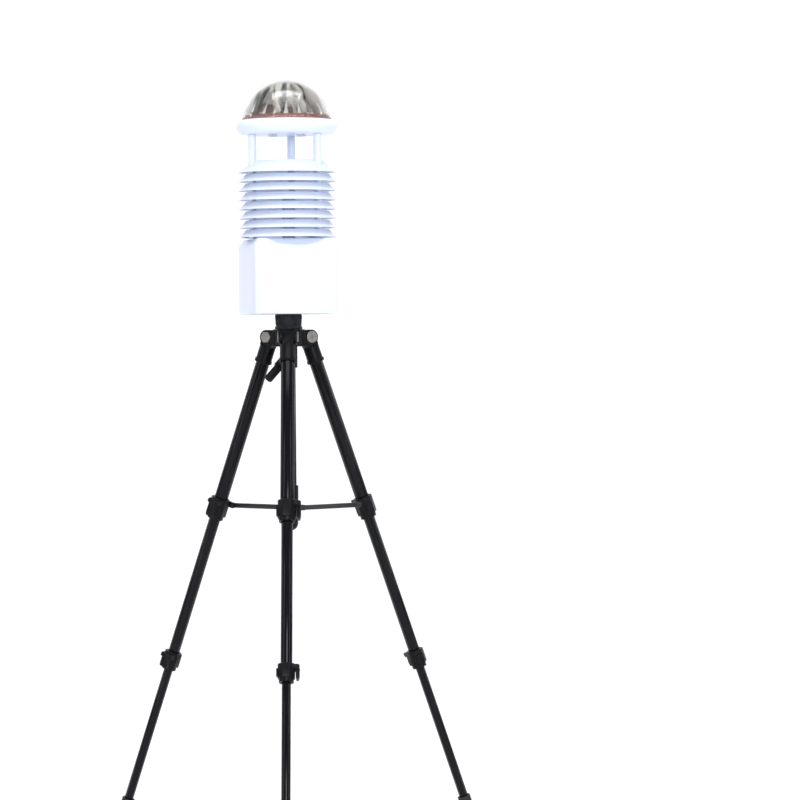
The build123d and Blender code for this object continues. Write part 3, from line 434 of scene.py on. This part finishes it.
# Radius, start and end along the leg, in millimetres.
TUBES = {
    "upper_tube": (10.0, 16.0, 263.0),
    "middle_tube": (8.25, 231.0, 507.5),
    "lower_tube": (6.5, 475.5, 748.6),
}
TUBE_WALL = 1.0 * MM
COLUMN_WALL = 1.2 * MM
TUBE_SIDES = 72
for leg in LEGS:
    for part_name, (radius, start, end) in TUBES.items():
        r = radius * MM
        line = tube_line(r, TUBE_WALL, start * MM, end * MM)
        shape = lathe(f"{leg}_{part_name}", line, TUBE_SIDES, leg_matrix(leg), three_grooves)
        piece = new_piece(f"{leg}_{part_name}_drawn", shape)
        stand_for(piece, TUBE_BLACK, f"{leg}_{part_name}")
for name in ("guide_tube", "centre_column"):
    low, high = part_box(name)
    r = (high[0] - low[0]) / 2
    line = tube_line(r, COLUMN_WALL, low[2], high[2])
    piece = new_piece(f"{name}_drawn", lathe(name, line, TUBE_SIDES))
    stand_for(piece, TUBE_BLACK, name)

# ---------------------------------------------------------------------------
# Tripod mouldings: crown, leg tops, clamps, levers, hub and stop, in black
# glass-filled nylon with softened edges, screwed or riveted together.
# ---------------------------------------------------------------------------
MOULDED_BLACK = finish_material(
    "moulded_black_nylon",
    (0.004, 0.004, 0.005),
    (0.009, 0.009, 0.010),
    (0.26, 0.4),
    0.25,
    fine=1600.0,
    coarse=40.0,
    wear=0.5,
    worn=(0.05, 0.05, 0.055),
    specular=0.11,
)
SHARP_EDGE = math.radians(35)
FLAT_ENOUGH = math.radians(0.5)


def softened(cad_node, material, width):
    """Copy of a CAD node with its doubles merged and its sharp edges rounded."""
    shape = bmesh.new()
    shape.from_mesh(frame["nodes"][cad_node].data)
    bmesh.ops.remove_doubles(shape, verts=shape.verts, dist=2e-6)
    bmesh.ops.dissolve_limit(
        shape, angle_limit=FLAT_ENOUGH, verts=shape.verts, edges=shape.edges
    )
    mesh = bpy.data.meshes.new(f"{cad_node}_soft")
    shape.to_mesh(mesh)
    shape.free()
    piece = new_piece(f"{cad_node}_moulded", mesh)
    rounding = piece.modifiers.new("rounding", "BEVEL")
    rounding.width = width
    rounding.segments = 2
    rounding.limit_method = "ANGLE"
    rounding.angle_limit = SHARP_EDGE
    rounding.harden_normals = True
    result = bpy.data.meshes.new_from_object(
        piece.evaluated_get(bpy.context.evaluated_depsgraph_get())
    )
    piece.modifiers.clear()
    piece.data = result
    stand_for(piece, material, cad_node)


for name in ("crown", "guide_stop", "brace_hub"):
    softened(name, MOULDED_BLACK, 0.5 * MM)
for leg in LEGS:
    for part_name in ("leg_top", "upper_clamp", "lower_clamp", "upper_lever", "lower_lever"):
        softened(f"{leg}_{part_name}", MOULDED_BLACK, 0.5 * MM)

# ---------------------------------------------------------------------------
# Steel hardware: dull zinc pivot bolts, brace strips and rivets under one satin
# black paint, and bright plated base screws and tie rods.
# ---------------------------------------------------------------------------
PLATED_STEEL = finish_material(
    "plated_steel",
    (0.50, 0.50, 0.51),
    (0.66, 0.66, 0.66),
    (0.22, 0.42),
    0.15,
    fine=2200.0,
    coarse=90.0,
    metallic=1.0,
)
BRACE_PAINT = finish_material(
    "brace_satin_paint",
    (0.008, 0.008, 0.009),
    (0.018, 0.018, 0.020),
    (0.28, 0.42),
    0.12,
    wear=0.8,
    worn=(0.2, 0.2, 0.21),
    specular=0.4,
)
DULL_ZINC = finish_material(
    "dull_zinc",
    (0.20, 0.19, 0.18),
    (0.34, 0.32, 0.30),
    (0.42, 0.6),
    0.5,
    fine=1800.0,
    coarse=130.0,
    wear=0.6,
    worn=(0.45, 0.44, 0.43),
    metallic=0.75,
)
softened("leg_pivot_bolts", DULL_ZINC, 0.3 * MM)
for leg in LEGS:
    softened(f"{leg}_brace", BRACE_PAINT, 0.35 * MM)
    softened(f"{leg}_brace_rivets", BRACE_PAINT, 0.3 * MM)


def coat_node(cad_node, material):
    """Give a CAD node that is shown as it is its material."""
    frame["nodes"][cad_node].data.materials.clear()
    frame["nodes"][cad_node].data.materials.append(material)


for name in ("base_screws", "tie_rods"):
    coat_node(name, PLATED_STEEL)

# ---------------------------------------------------------------------------
# Feet: moulded rubber boots pushed over the lowest tubes, flat underneath.
# ---------------------------------------------------------------------------
FOOT_RUBBER = finish_material(
    "foot_rubber",
    (0.007, 0.007, 0.007),
    (0.016, 0.016, 0.015),
    (0.62, 0.82),
    0.5,
    fine=1100.0,
    coarse=55.0,
    wear=0.5,
    worn=(0.09, 0.085, 0.08),
)
for leg in LEGS:
    softened(f"{leg}_foot", FOOT_RUBBER, 0.8 * MM)

# ---------------------------------------------------------------------------
# Column lock knob: black moulded grip with ribs all round, on a steel screw
# that passes through the boss of the crown.
# ---------------------------------------------------------------------------


def node_tree(name, inputs):
    """Geometry node tree with named size inputs; returns it with its entry and exit nodes."""
    tree = bpy.data.node_groups.new(name, "GeometryNodeTree")
    tree.interface.new_socket("Geometry", in_out="INPUT", socket_type="NodeSocketGeometry")
    for label, kind in inputs:
        tree.interface.new_socket(label, in_out="INPUT", socket_type=kind)
    tree.interface.new_socket("Geometry", in_out="OUTPUT", socket_type="NodeSocketGeometry")
    return tree, tree.nodes.new("NodeGroupInput"), tree.nodes.new("NodeGroupOutput")


def finish_copies(nodes, wire, copies, entry, leave):
    """Turn copies into real mesh, give them their material and send them out."""
    solid = nodes.new("GeometryNodeRealizeInstances")
    coated = nodes.new("GeometryNodeSetMaterial")
    wire(entry.outputs["Geometry"], copies.inputs["Instance"])
    wire(copies.outputs["Instances"], solid.inputs["Geometry"])
    wire(solid.outputs["Geometry"], coated.inputs["Geometry"])
    wire(entry.outputs["Finish"], coated.inputs["Material"])
    wire(coated.outputs["Geometry"], leave.inputs["Geometry"])


def ring_tree():
    """Copies of the incoming shape turned evenly about the Z axis."""
    inputs = [
        ("Count", "NodeSocketInt"),
        ("Start angle", "NodeSocketFloat"),
        ("Finish", "NodeSocketMaterial"),
    ]
    tree, entry, leave = node_tree("copies_round_an_axis", inputs)
    nodes, wire = tree.nodes, tree.links.new
    spots = node(nodes, "GeometryNodeMeshLine")
    spots.inputs["Offset"].default_value = (0, 0, 0)
    copies = nodes.new("GeometryNodeInstanceOnPoints")
    index = nodes.new("GeometryNodeInputIndex")
    share = node(nodes, "ShaderNodeMath", operation="DIVIDE")
    turn = node(nodes, "ShaderNodeMath", operation="MULTIPLY_ADD")
    turn.inputs[1].default_value = 2 * math.pi
    angles = nodes.new("ShaderNodeCombineXYZ")
    wire(entry.outputs["Count"], spots.inputs["Count"])
    wire(index.outputs["Index"], share.inputs[0])
    wire(entry.outputs["Count"], share.inputs[1])
    wire(share.outputs["Value"], turn.inputs[0])
    wire(entry.outputs["Start angle"], turn.inputs[2])
    wire(turn.outputs["Value"], angles.inputs["Z"])
    wire(spots.outputs["Mesh"], copies.inputs["Points"])
    wire(angles.outputs["Vector"], copies.inputs["Rotation"])
    finish_copies(nodes, wire, copies, entry, leave)
    return tree


def stack_tree():
    """Copies of the incoming shape stacked upwards at a pitch."""
    inputs = [
        ("Count", "NodeSocketInt"),
        ("Pitch", "NodeSocketFloat"),
        ("Finish", "NodeSocketMaterial"),
    ]
    tree, entry, leave = node_tree("copies_stacked_up", inputs)
    nodes, wire = tree.nodes, tree.links.new
    spots = node(nodes, "GeometryNodeMeshLine")
    lift = nodes.new("ShaderNodeCombineXYZ")
    copies = nodes.new("GeometryNodeInstanceOnPoints")
    wire(entry.outputs["Count"], spots.inputs["Count"])
    wire(entry.outputs["Pitch"], lift.inputs["Z"])
    wire(lift.outputs["Vector"], spots.inputs["Offset"])
    wire(spots.outputs["Mesh"], copies.inputs["Points"])
    finish_copies(nodes, wire, copies, entry, leave)
    return tree


RING = ring_tree()
STACK = stack_tree()


def repeated(name, mesh, tree, sizes):
    """Plain mesh of what a node tree makes from one shape and its named sizes."""
    carrier = new_piece(name, mesh)
    growth = carrier.modifiers.new("copies", "NODES")
    growth.node_group = tree
    for item in tree.interface.items_tree:
        if item.in_out == "INPUT" and item.name in sizes:
            growth[item.identifier] = sizes[item.name]
    bpy.context.view_layer.update()
    graph = bpy.context.evaluated_depsgraph_get()
    result = bpy.data.meshes.new_from_object(carrier.evaluated_get(graph))
    bpy.data.objects.remove(carrier)
    return result


def joined(name, *meshes):
    """One mesh out of several."""
    shape = bmesh.new()
    for mesh in meshes:
        shape.from_mesh(mesh)
    mesh = bpy.data.meshes.new(name)
    shape.to_mesh(mesh)
    shape.free()
    return mesh


def rib_mesh(line, half_width, height, sink):
    """One raised rib that follows a line of (radius, height) on a turned surface."""
    points = []
    for radius, z in line:
        points += [
            (radius - sink, -half_width, z),
            (radius + height, -half_width * 0.35, z),
            (radius + height, half_width * 0.35, z),
            (radius - sink, half_width, z),
        ]
    faces = []
    for i in range(len(line) - 1):
        a, b = 4 * i, 4 * i + 4
        for k in range(4):
            n = (k + 1) % 4
            faces.append([a + k, a + n, b + n, b + k])
    faces.append([3, 2, 1, 0])
    last = 4 * (len(line) - 1)
    faces.append([last, last + 1, last + 2, last + 3])
    return mesh_from("rib", points, faces)


KNOB_RADIUS = 5.9 * MM
KNOB_START = 24.5 * MM
KNOB_END = 49.5 * MM
KNOB_DISH = 0.8 * MM
KNOB_RIBS = 20
SCREW_START = 16.4 * MM
SCREW_RADIUS = 2.5 * MM
knob_joint = joints["lock_knob_turn"]
knob_axis = Vector(knob_joint["axis"])
knob_turned = knob_axis.to_track_quat("Z", "Y").to_matrix().to_4x4()
knob_place = Matrix.Translation(knob_joint["pos_m"]) @ knob_turned
knob_line = [
    (0, KNOB_START),
    (KNOB_RADIUS, KNOB_START),
    (KNOB_RADIUS, KNOB_END),
    (KNOB_RADIUS - 1.6 * MM, KNOB_END),
    (KNOB_RADIUS - 2.0 * MM, KNOB_END - KNOB_DISH),
    (0, KNOB_END - KNOB_DISH),
]
barrel = lathe("knob_barrel", rounded(knob_line, 0.7 * MM), 64)
rib_line = [(KNOB_RADIUS, KNOB_START + 2 * MM), (KNOB_RADIUS, KNOB_END - 2 * MM)]
rib = rib_mesh(rib_line, 0.55 * MM, 0.28 * MM, 0.2 * MM)
knob_sizes = {"Count": KNOB_RIBS, "Start angle": 0.0, "Finish": MOULDED_BLACK}
ribs = repeated("knob_ribs", rib, RING, knob_sizes)
screw_line = [
    (0, SCREW_START),
    (SCREW_RADIUS, SCREW_START),
    (SCREW_RADIUS, KNOB_START),
    (0, KNOB_START),
]
screw = lathe("knob_screw", rounded(screw_line, 0.3 * MM, 2), 32)
knob_mesh = joined("lock_knob", barrel, ribs, screw)
knob_mesh.transform(knob_place)
stand_for(new_piece("lock_knob_moulded", knob_mesh), MOULDED_BLACK, "lock_knob")

# ---------------------------------------------------------------------------
# Adaptor: turned black acetal with a straight knurl, screwed into the base of
# the station and seated on the column. Its top and foot flare out a little.
# ---------------------------------------------------------------------------
ADAPTOR_BLACK = finish_material(
    "adaptor_black_acetal",
    (0.007, 0.008, 0.011),
    (0.013, 0.015, 0.020),
    (0.34, 0.5),
    0.2,
    wear=0.7,
    worn=(0.06, 0.065, 0.08),
    specular=0.22,
)
ADAPTOR_FLANGE = 20.3 * MM
ADAPTOR_TOP_RADIUS = 19.5 * MM
ADAPTOR_HEIGHT = 22 * MM
ADAPTOR_BORE = 8.05 * MM
BORE_DEPTH = 15 * MM
THREAD_RADIUS = 6 * MM
low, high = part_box("adaptor")
adaptor_top = low[2] + ADAPTOR_HEIGHT
adaptor_side = [
    (ADAPTOR_FLANGE, low[2]),
    (ADAPTOR_FLANGE, low[2] + 2.2 * MM),
    (18.5 * MM, low[2] + 6 * MM),
    (18.9 * MM, low[2] + 13 * MM),
    (ADAPTOR_TOP_RADIUS, adaptor_top - 2.5 * MM),
    (ADAPTOR_TOP_RADIUS, adaptor_top),
]
adaptor_line = [(ADAPTOR_BORE, low[2])] + adaptor_side + [
    (THREAD_RADIUS, adaptor_top),
    (THREAD_RADIUS, high[2]),
    (0, high[2]),
    (0, low[2] + BORE_DEPTH),
    (ADAPTOR_BORE, low[2] + BORE_DEPTH),
]
grip = lathe("adaptor_grip", rounded(adaptor_line, 0.6 * MM), 96)
knurl = rib_mesh(adaptor_side[2:5], 0.5 * MM, 0.45 * MM, 0.3 * MM)
KNURL_COUNT = 84
knurl_sizes = {"Count": KNURL_COUNT, "Start angle": 0.0, "Finish": ADAPTOR_BLACK}
knurls = repeated("adaptor_knurl", knurl, RING, knurl_sizes)
stand_for(new_piece("adaptor_turned", joined("adaptor", grip, knurls)), ADAPTOR_BLACK, "adaptor")

# ---------------------------------------------------------------------------
# Station housing: square ABS box, moulded in one with bevelled top edges, and
# a flat base plate let into its open underside with four screws.
# ---------------------------------------------------------------------------
WHITE_GLOSS = finish_material(
    "white_moulded_plastic",
    (0.69, 0.76, 0.92),
    (0.75, 0.82, 0.96),
    (0.26, 0.40),
    0.08,
    fine=1300.0,
    coarse=16.0,
    wear=0.25,
    worn=(0.62, 0.64, 0.68),
    coat=0.2,
)
BASE_WHITE = finish_material(
    "base_matt_white",
    (0.62, 0.66, 0.74),
    (0.70, 0.74, 0.82),
    (0.5, 0.66),
    0.2,
    wear=0.3,
    worn=(0.5, 0.5, 0.52),
)
HOUSING_HALF = 62 * MM
HOUSING_CORNER = 5 * MM
HOUSING_WALL = 3 * MM
HOUSING_TURN = math.radians(14)
CABLE_HOLE = 9 * MM


def squared(name, outline, corner, turn, arc_steps=8):
    """Closed outline of (half side, height) swept round a square with rounded corners."""
    widest = max(half for half, height in outline)
    points = []
    rings = []
    for half, height in outline:
        bend = max(corner - (widest - half), min(0.4 * MM, half * 0.5))
        ring = []
        for quarter in range(4):
            for step in range(arc_steps + 1):
                angle = turn + math.pi / 2 * (quarter + step / arc_steps)
                side = turn + math.pi / 2 * quarter + math.pi / 4
                reach = (half - bend) * math.sqrt(2)
                x = reach * math.cos(side) + bend * math.cos(angle)
                y = reach * math.sin(side) + bend * math.sin(angle)
                ring.append(len(points))
                points.append((x, y, height))
        rings.append(ring)
    faces = []
    around = len(rings[0])
    for first, second in zip(rings, rings[1:] + rings[:1]):
        for i in range(around):
            k = (i + 1) % around
            faces.append([first[i], first[k], second[k], second[i]])
    return mesh_from(name, points, faces)


low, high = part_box("housing")
base_z, top_z = low[2], high[2]
housing_line = [
    (HOUSING_HALF - HOUSING_WALL, base_z),
    (HOUSING_HALF, base_z),
    (HOUSING_HALF, top_z - 10 * MM),
    (HOUSING_HALF - 7 * MM, top_z),
    (CABLE_HOLE, top_z),
    (CABLE_HOLE, top_z - HOUSING_WALL),
    (HOUSING_HALF - 9 * MM, top_z - HOUSING_WALL),
    (HOUSING_HALF - HOUSING_WALL, top_z - 11 * MM),
]
housing_soft = rounded(housing_line, 1.4 * MM, 5)
housing_mesh = squared("housing", housing_soft, HOUSING_CORNER, HOUSING_TURN)
housing_piece = new_piece("housing_moulded", housing_mesh)
stand_for(housing_piece, WHITE_GLOSS, "housing")
softened("housing_base", BASE_WHITE, 0.4 * MM)

# ---------------------------------------------------------------------------
# Inside and under the housing: brass insert, cable socket and control board.
# ---------------------------------------------------------------------------
BRASS = finish_material(
    "turned_brass",
    (0.66, 0.46, 0.18),
    (0.80, 0.60, 0.28),
    (0.24, 0.4),
    0.15,
    fine=1800.0,
    metallic=1.0,
)
SOCKET_METAL = finish_material(
    "plated_socket",
    (0.55, 0.55, 0.57),
    (0.70, 0.70, 0.72),
    (0.18, 0.3),
    0.1,
    fine=1800.0,
    metallic=1.0,
)
BOARD_GREEN = finish_material(
    "board_green",
    (0.012, 0.10, 0.035),
    (0.02, 0.16, 0.06),
    (0.28, 0.42),
    0.2,
    fine=700.0,
    coarse=160.0,
    coat=0.3,
)
PROBE_FILTER = finish_material(
    "sintered_filter",
    (0.58, 0.62, 0.72),
    (0.72, 0.76, 0.86),
    (0.7, 0.9),
    0.8,
    fine=1500.0,
    coarse=320.0,
)
softened("cable_socket", SOCKET_METAL, 0.3 * MM)
softened("climate_probe", PROBE_FILTER, 0.4 * MM)
softened("control_board", BOARD_GREEN, 0.15 * MM)
coat_node("mount_insert", BRASS)

# ---------------------------------------------------------------------------
# Radiation shield: a cone-topped cap and seven thin flared louvre plates, all
# moulded in white, held apart by small spacers on three threaded rods.
# ---------------------------------------------------------------------------
TURNED_SIDES = 160
PLATE_PITCH = 13.5 * MM
PLATE_COUNT = 7
PLATE_DROP = 11 * MM
PLATE_SKIN = 1.8 * MM
RIM_RADIUS = 71.5 * MM
FLANGE_RADIUS = 61 * MM
PLATE_BORE = 44 * MM
CAP_TOP_RADIUS = 52.5 * MM
lip = PLATE_SKIN * 0.75
lowest_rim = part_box("shield_plates")[0][2]
plate_line = [
    (PLATE_BORE, PLATE_DROP),
    (FLANGE_RADIUS, PLATE_DROP),
    (RIM_RADIUS, 0),
    (RIM_RADIUS - lip, 0),
    (FLANGE_RADIUS - lip / 2, PLATE_DROP - PLATE_SKIN),
    (PLATE_BORE, PLATE_DROP - PLATE_SKIN),
]
plate = lathe("louvre_plate", rounded(plate_line, 0.9 * MM), TURNED_SIDES)
stack_sizes = {"Count": PLATE_COUNT, "Pitch": PLATE_PITCH, "Finish": WHITE_GLOSS}
plates = repeated("plates", plate, STACK, stack_sizes)
plates.transform(Matrix.Translation((0, 0, lowest_rim)))
stand_for(new_piece("shield_plates_moulded", plates), WHITE_GLOSS, "shield_plates")

low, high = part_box("shield_cap")
cap_line = [
    (0, high[2]),
    (CAP_TOP_RADIUS, high[2]),
    (RIM_RADIUS, low[2]),
    (RIM_RADIUS - lip, low[2]),
    (FLANGE_RADIUS, low[2] + PLATE_DROP - PLATE_SKIN),
    (0, low[2] + PLATE_DROP - PLATE_SKIN),
]
cap = lathe("shield_cap", rounded(cap_line, 1.2 * MM), TURNED_SIDES)
stand_for(new_piece("shield_cap_moulded", cap), WHITE_GLOSS, "shield_cap")
softened("shield_spacers", WHITE_GLOSS, 0.25 * MM)

# ---------------------------------------------------------------------------
# Wind sensor: three white posts carry a hollow disc with a full round edge.
# Four ultrasonic transducers look down from it into the open space.
# ---------------------------------------------------------------------------
POST_CIRCLE = 55 * MM
POST_RADIUS = 6 * MM
POST_BORE = 2.1 * MM
POST_COUNT = 3
POST_START = math.radians(85.5)
low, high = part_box("wind_columns")
post_line = [
    (POST_BORE, low[2]),
    (POST_RADIUS, low[2]),
    (POST_RADIUS, high[2] - 1.6 * MM),
    (POST_RADIUS - 0.4 * MM, high[2]),
    (POST_BORE, high[2]),
]
post_place = Matrix.Translation((POST_CIRCLE, 0, 0))
post = lathe("wind_post", rounded(post_line, 0.8 * MM), 64, post_place)
post_sizes = {"Count": POST_COUNT, "Start angle": POST_START, "Finish": WHITE_GLOSS}
posts = repeated("posts", post, RING, post_sizes)
stand_for(new_piece("wind_columns_moulded", posts), WHITE_GLOSS, "wind_columns")

TRANSDUCER_FACE = finish_material(
    "transducer_satin",
    (0.56, 0.58, 0.64),
    (0.66, 0.68, 0.74),
    (0.3, 0.45),
    0.3,
    fine=2400.0,
    coarse=120.0,
    metallic=0.9,
)
softened("ultrasonic_transducers", TRANSDUCER_FACE, 0.3 * MM)

low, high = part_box("top_disc")
disc_half = (high[2] - low[2]) / 2
disc_middle = (high[2] + low[2]) / 2
DISC_RADIUS = 73.9 * MM
DISC_EDGE = 11 * MM  # width of the rounded rim
DISC_CAVITY = 54 * MM
DISC_FLOOR = 3.5 * MM
DISC_STEPS = 24
disc_line = [(0, low[2])]
for step in range(DISC_STEPS + 1):
    turn = math.pi * (step / DISC_STEPS - 0.5)
    r = DISC_RADIUS - DISC_EDGE + DISC_EDGE * math.cos(turn)
    disc_line.append((r, disc_middle + disc_half * math.sin(turn)))
disc_floor = low[2] + DISC_FLOOR
disc_line += [(DISC_CAVITY, high[2]), (DISC_CAVITY, disc_floor), (0, disc_floor)]
disc = lathe("top_disc", disc_line, TURNED_SIDES)
stand_for(new_piece("top_disc_moulded", disc), WHITE_GLOSS, "top_disc")

# ---------------------------------------------------------------------------
# Rain sensor: a clear, slightly smoky dome over eight moulded light pipes, a
# ring of infrared modules, a red-brown board and the red-brown ring seal.
# ---------------------------------------------------------------------------


def clear_material(name, tint, rough, ior, clearness, cover=1.0):
    """Clear moulding with a faint tint, fine flow lines and varied polish."""
    material, nodes, wire, principled = shader(name)
    place = node(nodes, "ShaderNodeTexCoord")
    flow = node(nodes, "ShaderNodeTexNoise", Scale=26.0, Detail=3.0)
    polish = node(nodes, "ShaderNodeMapRange")
    polish.inputs["To Min"].default_value = rough[0]
    polish.inputs["To Max"].default_value = rough[1]
    tone = node(nodes, "ShaderNodeValToRGB")
    tone.color_ramp.elements[0].color = (*[c * 0.93 for c in tint], 1)
    tone.color_ramp.elements[1].color = (*tint, 1)
    relief = node(nodes, "ShaderNodeBump", Strength=0.08, Distance=0.0005)
    wire(place.outputs["Object"], flow.inputs["Vector"])
    wire(flow.outputs["Fac"], polish.inputs["Value"])
    wire(flow.outputs["Fac"], tone.inputs["Fac"])
    wire(flow.outputs["Fac"], relief.inputs["Height"])
    wire(tone.outputs["Color"], principled.inputs["Base Color"])
    wire(polish.outputs["Result"], principled.inputs["Roughness"])
    wire(relief.outputs["Normal"], principled.inputs["Normal"])
    principled.inputs["Transmission Weight"].default_value = clearness
    principled.inputs["Alpha"].default_value = cover
    principled.inputs["IOR"].default_value = ior
    return material


DOME_CLEAR = clear_material(
    "dome_smoky_clear", (0.80, 0.79, 0.73), (0.015, 0.05), ior=1.49, clearness=1.0, cover=0.36
)
LOBE_CLEAR = clear_material(
    "light_pipe_clear", (0.97, 0.96, 0.91), (0.02, 0.08), ior=1.52, clearness=0.5
)


def paint_pipe_shade(material, count, start, foot, crown):
    """Painted dark reflection and shade on the flanks that face each other, and clearer feet."""
    nodes, wire = material.node_tree.nodes, material.node_tree.links.new
    principled = nodes["Principled BSDF"]
    base = principled.inputs["Base Color"]
    clear = base.links[0].from_socket
    place = node(nodes, "ShaderNodeTexCoord")
    ripple = node(nodes, "ShaderNodeTexNoise", Scale=70.0, Detail=2.0)
    axes = node(nodes, "ShaderNodeSeparateXYZ")
    angle = node(nodes, "ShaderNodeMath", operation="ARCTAN2")
    pipes = node(nodes, "ShaderNodeMath", operation="MULTIPLY_ADD")
    pipes.inputs[1].default_value = count / (2 * math.pi)
    pipes.inputs[2].default_value = count - count * start / (2 * math.pi)
    waved = node(nodes, "ShaderNodeMath", operation="MULTIPLY_ADD")
    waved.inputs[1].default_value = 0.35
    share = node(nodes, "ShaderNodeMath", operation="FRACT")
    centred = node(nodes, "ShaderNodeMath", operation="SUBTRACT")
    centred.inputs[1].default_value = 0.5
    away = node(nodes, "ShaderNodeMath", operation="ABSOLUTE")
    painted_shade_flank = node(nodes, "ShaderNodeMapRange")
    painted_shade_flank.inputs["From Min"].default_value = 0.17
    painted_shade_flank.inputs["From Max"].default_value = 0.13
    cover = node(nodes, "ShaderNodeMapRange")
    cover.inputs["From Min"].default_value = foot
    cover.inputs["From Max"].default_value = crown
    cover.inputs["To Min"].default_value = 0.72
    cover.inputs["To Max"].default_value = 0.95
    # Near-black painted reflection and shade, laid on the pipe flanks that face each other.
    painted_shade_share, clear_in, dark_in, shaded = colour_mix(nodes)
    dark_in.default_value = (0.006, 0.006, 0.005, 1)
    wire(place.outputs["Object"], axes.inputs["Vector"])
    wire(place.outputs["Object"], ripple.inputs["Vector"])
    wire(axes.outputs["Z"], cover.inputs["Value"])
    wire(cover.outputs["Result"], principled.inputs["Alpha"])
    wire(axes.outputs["Y"], angle.inputs[0])
    wire(axes.outputs["X"], angle.inputs[1])
    wire(angle.outputs["Value"], pipes.inputs[0])
    wire(ripple.outputs["Fac"], waved.inputs[0])
    wire(pipes.outputs["Value"], waved.inputs[2])
    wire(waved.outputs["Value"], share.inputs[0])
    wire(share.outputs["Value"], centred.inputs[0])
    wire(centred.outputs["Value"], away.inputs[0])
    wire(away.outputs["Value"], painted_shade_flank.inputs["Value"])
    wire(painted_shade_flank.outputs["Result"], painted_shade_share)
    wire(clear, clear_in)
    wire(shaded, base)


BOARD_RED = finish_material(
    "board_red_brown",
    (0.20, 0.035, 0.02),
    (0.34, 0.075, 0.04),
    (0.3, 0.5),
    0.25,
    fine=600.0,
    coarse=200.0,
    coat=0.3,
)
SEAL_RED = finish_material(
    "seal_red_silicone",
    (0.20, 0.065, 0.05),
    (0.30, 0.11, 0.085),
    (0.5, 0.68),
    0.3,
    coarse=60.0,
)
MODULE_BLACK = finish_material(
    "module_black_epoxy",
    (0.006, 0.006, 0.007),
    (0.014, 0.014, 0.015),
    (0.12, 0.25),
    0.1,
    coat=0.4,
)
softened("rain_sensor_board", BOARD_RED, 0.3 * MM)
softened("dome_seal", SEAL_RED, 0.3 * MM)
softened("infrared_modules", MODULE_BLACK, 0.6 * MM)

DOME_WALL = 2.4 * MM
DOME_RADIUS = 64.9 * MM
low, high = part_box("rain_dome")
dome_height = high[2] - low[2]
ball = (DOME_RADIUS**2 + dome_height**2) / (2 * dome_height)
ball_centre = high[2] - ball
inner_ball = ball - DOME_WALL
foot_angle = math.asin((low[2] - ball_centre) / ball)
inner_angle = math.asin((low[2] - ball_centre) / inner_ball)
DOME_STEPS = 40
dome_line = []
for step in range(DOME_STEPS):
    turn = foot_angle + (math.pi / 2 - foot_angle) * step / DOME_STEPS
    dome_line.append((ball * math.cos(turn), ball_centre + ball * math.sin(turn)))
dome_line += [(0, high[2]), (0, high[2] - DOME_WALL)]
for step in range(1, DOME_STEPS + 1):
    turn = math.pi / 2 - (math.pi / 2 - inner_angle) * step / DOME_STEPS
    dome_line.append((inner_ball * math.cos(turn), ball_centre + inner_ball * math.sin(turn)))
dome = lathe("rain_dome", dome_line, TURNED_SIDES)
stand_for(new_piece("rain_dome_moulded", dome), DOME_CLEAR, "rain_dome")

LOBE_COUNT = 8
LOBE_START = math.radians(260)
LOBE_FOOT_CIRCLE = 50 * MM
LOBE_TOP_CIRCLE = 24 * MM
LOBE_FOOT = 5.4 * MM
LOBE_TOPS = (11.8 * MM, 7.8 * MM)
LOBE_RINGS = 28
lobe_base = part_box("dome_light_pipes")[0][2]
# The pipes get painted dark reflection and shade on their facing flanks, from this start angle
# round the dome.
SHADE_START = LOBE_START - 0.14
paint_pipe_shade(LOBE_CLEAR, LOBE_COUNT, SHADE_START, lobe_base + 4 * MM, lobe_base + 34 * MM)
LOBE_GAP = 0.4 * MM
lobe_limit = inner_ball - LOBE_GAP
middle_of_ball = Vector((0, 0, ball_centre))
lobes = []
for i in range(LOBE_COUNT):
    azimuth = LOBE_START + 2 * math.pi * i / LOBE_COUNT
    out = Vector((math.cos(azimuth), math.sin(azimuth), 0))
    foot = out * LOBE_FOOT_CIRCLE + Vector((0, 0, lobe_base))
    top = out * LOBE_TOP_CIRCLE + Vector((0, 0, high[2]))
    length = (top - foot).length
    lobe_line = [(0, 0)]
    for step in range(LOBE_RINGS + 1):
        t = step / LOBE_RINGS
        lobe_line.append((LOBE_FOOT + (LOBE_TOPS[i % 2] - LOBE_FOOT) * t**0.8, length * t))
    lobe_line.append((0, length))
    tilt = (top - foot).to_track_quat("Z", "Y").to_matrix().to_4x4()
    lobe = lathe("light_pipe", lobe_line, 48, Matrix.Translation(foot) @ tilt)
    for vertex in lobe.vertices:
        away = vertex.co - middle_of_ball
        if away.length > lobe_limit:
            vertex.co = middle_of_ball + away.normalized() * lobe_limit
        vertex.co.z = max(vertex.co.z, lobe_base)
    lobes.append(lobe)
lobe_piece = new_piece("dome_light_pipes_moulded", joined("dome_light_pipes", *lobes))
stand_for(lobe_piece, LOBE_CLEAR, "dome_light_pipes")
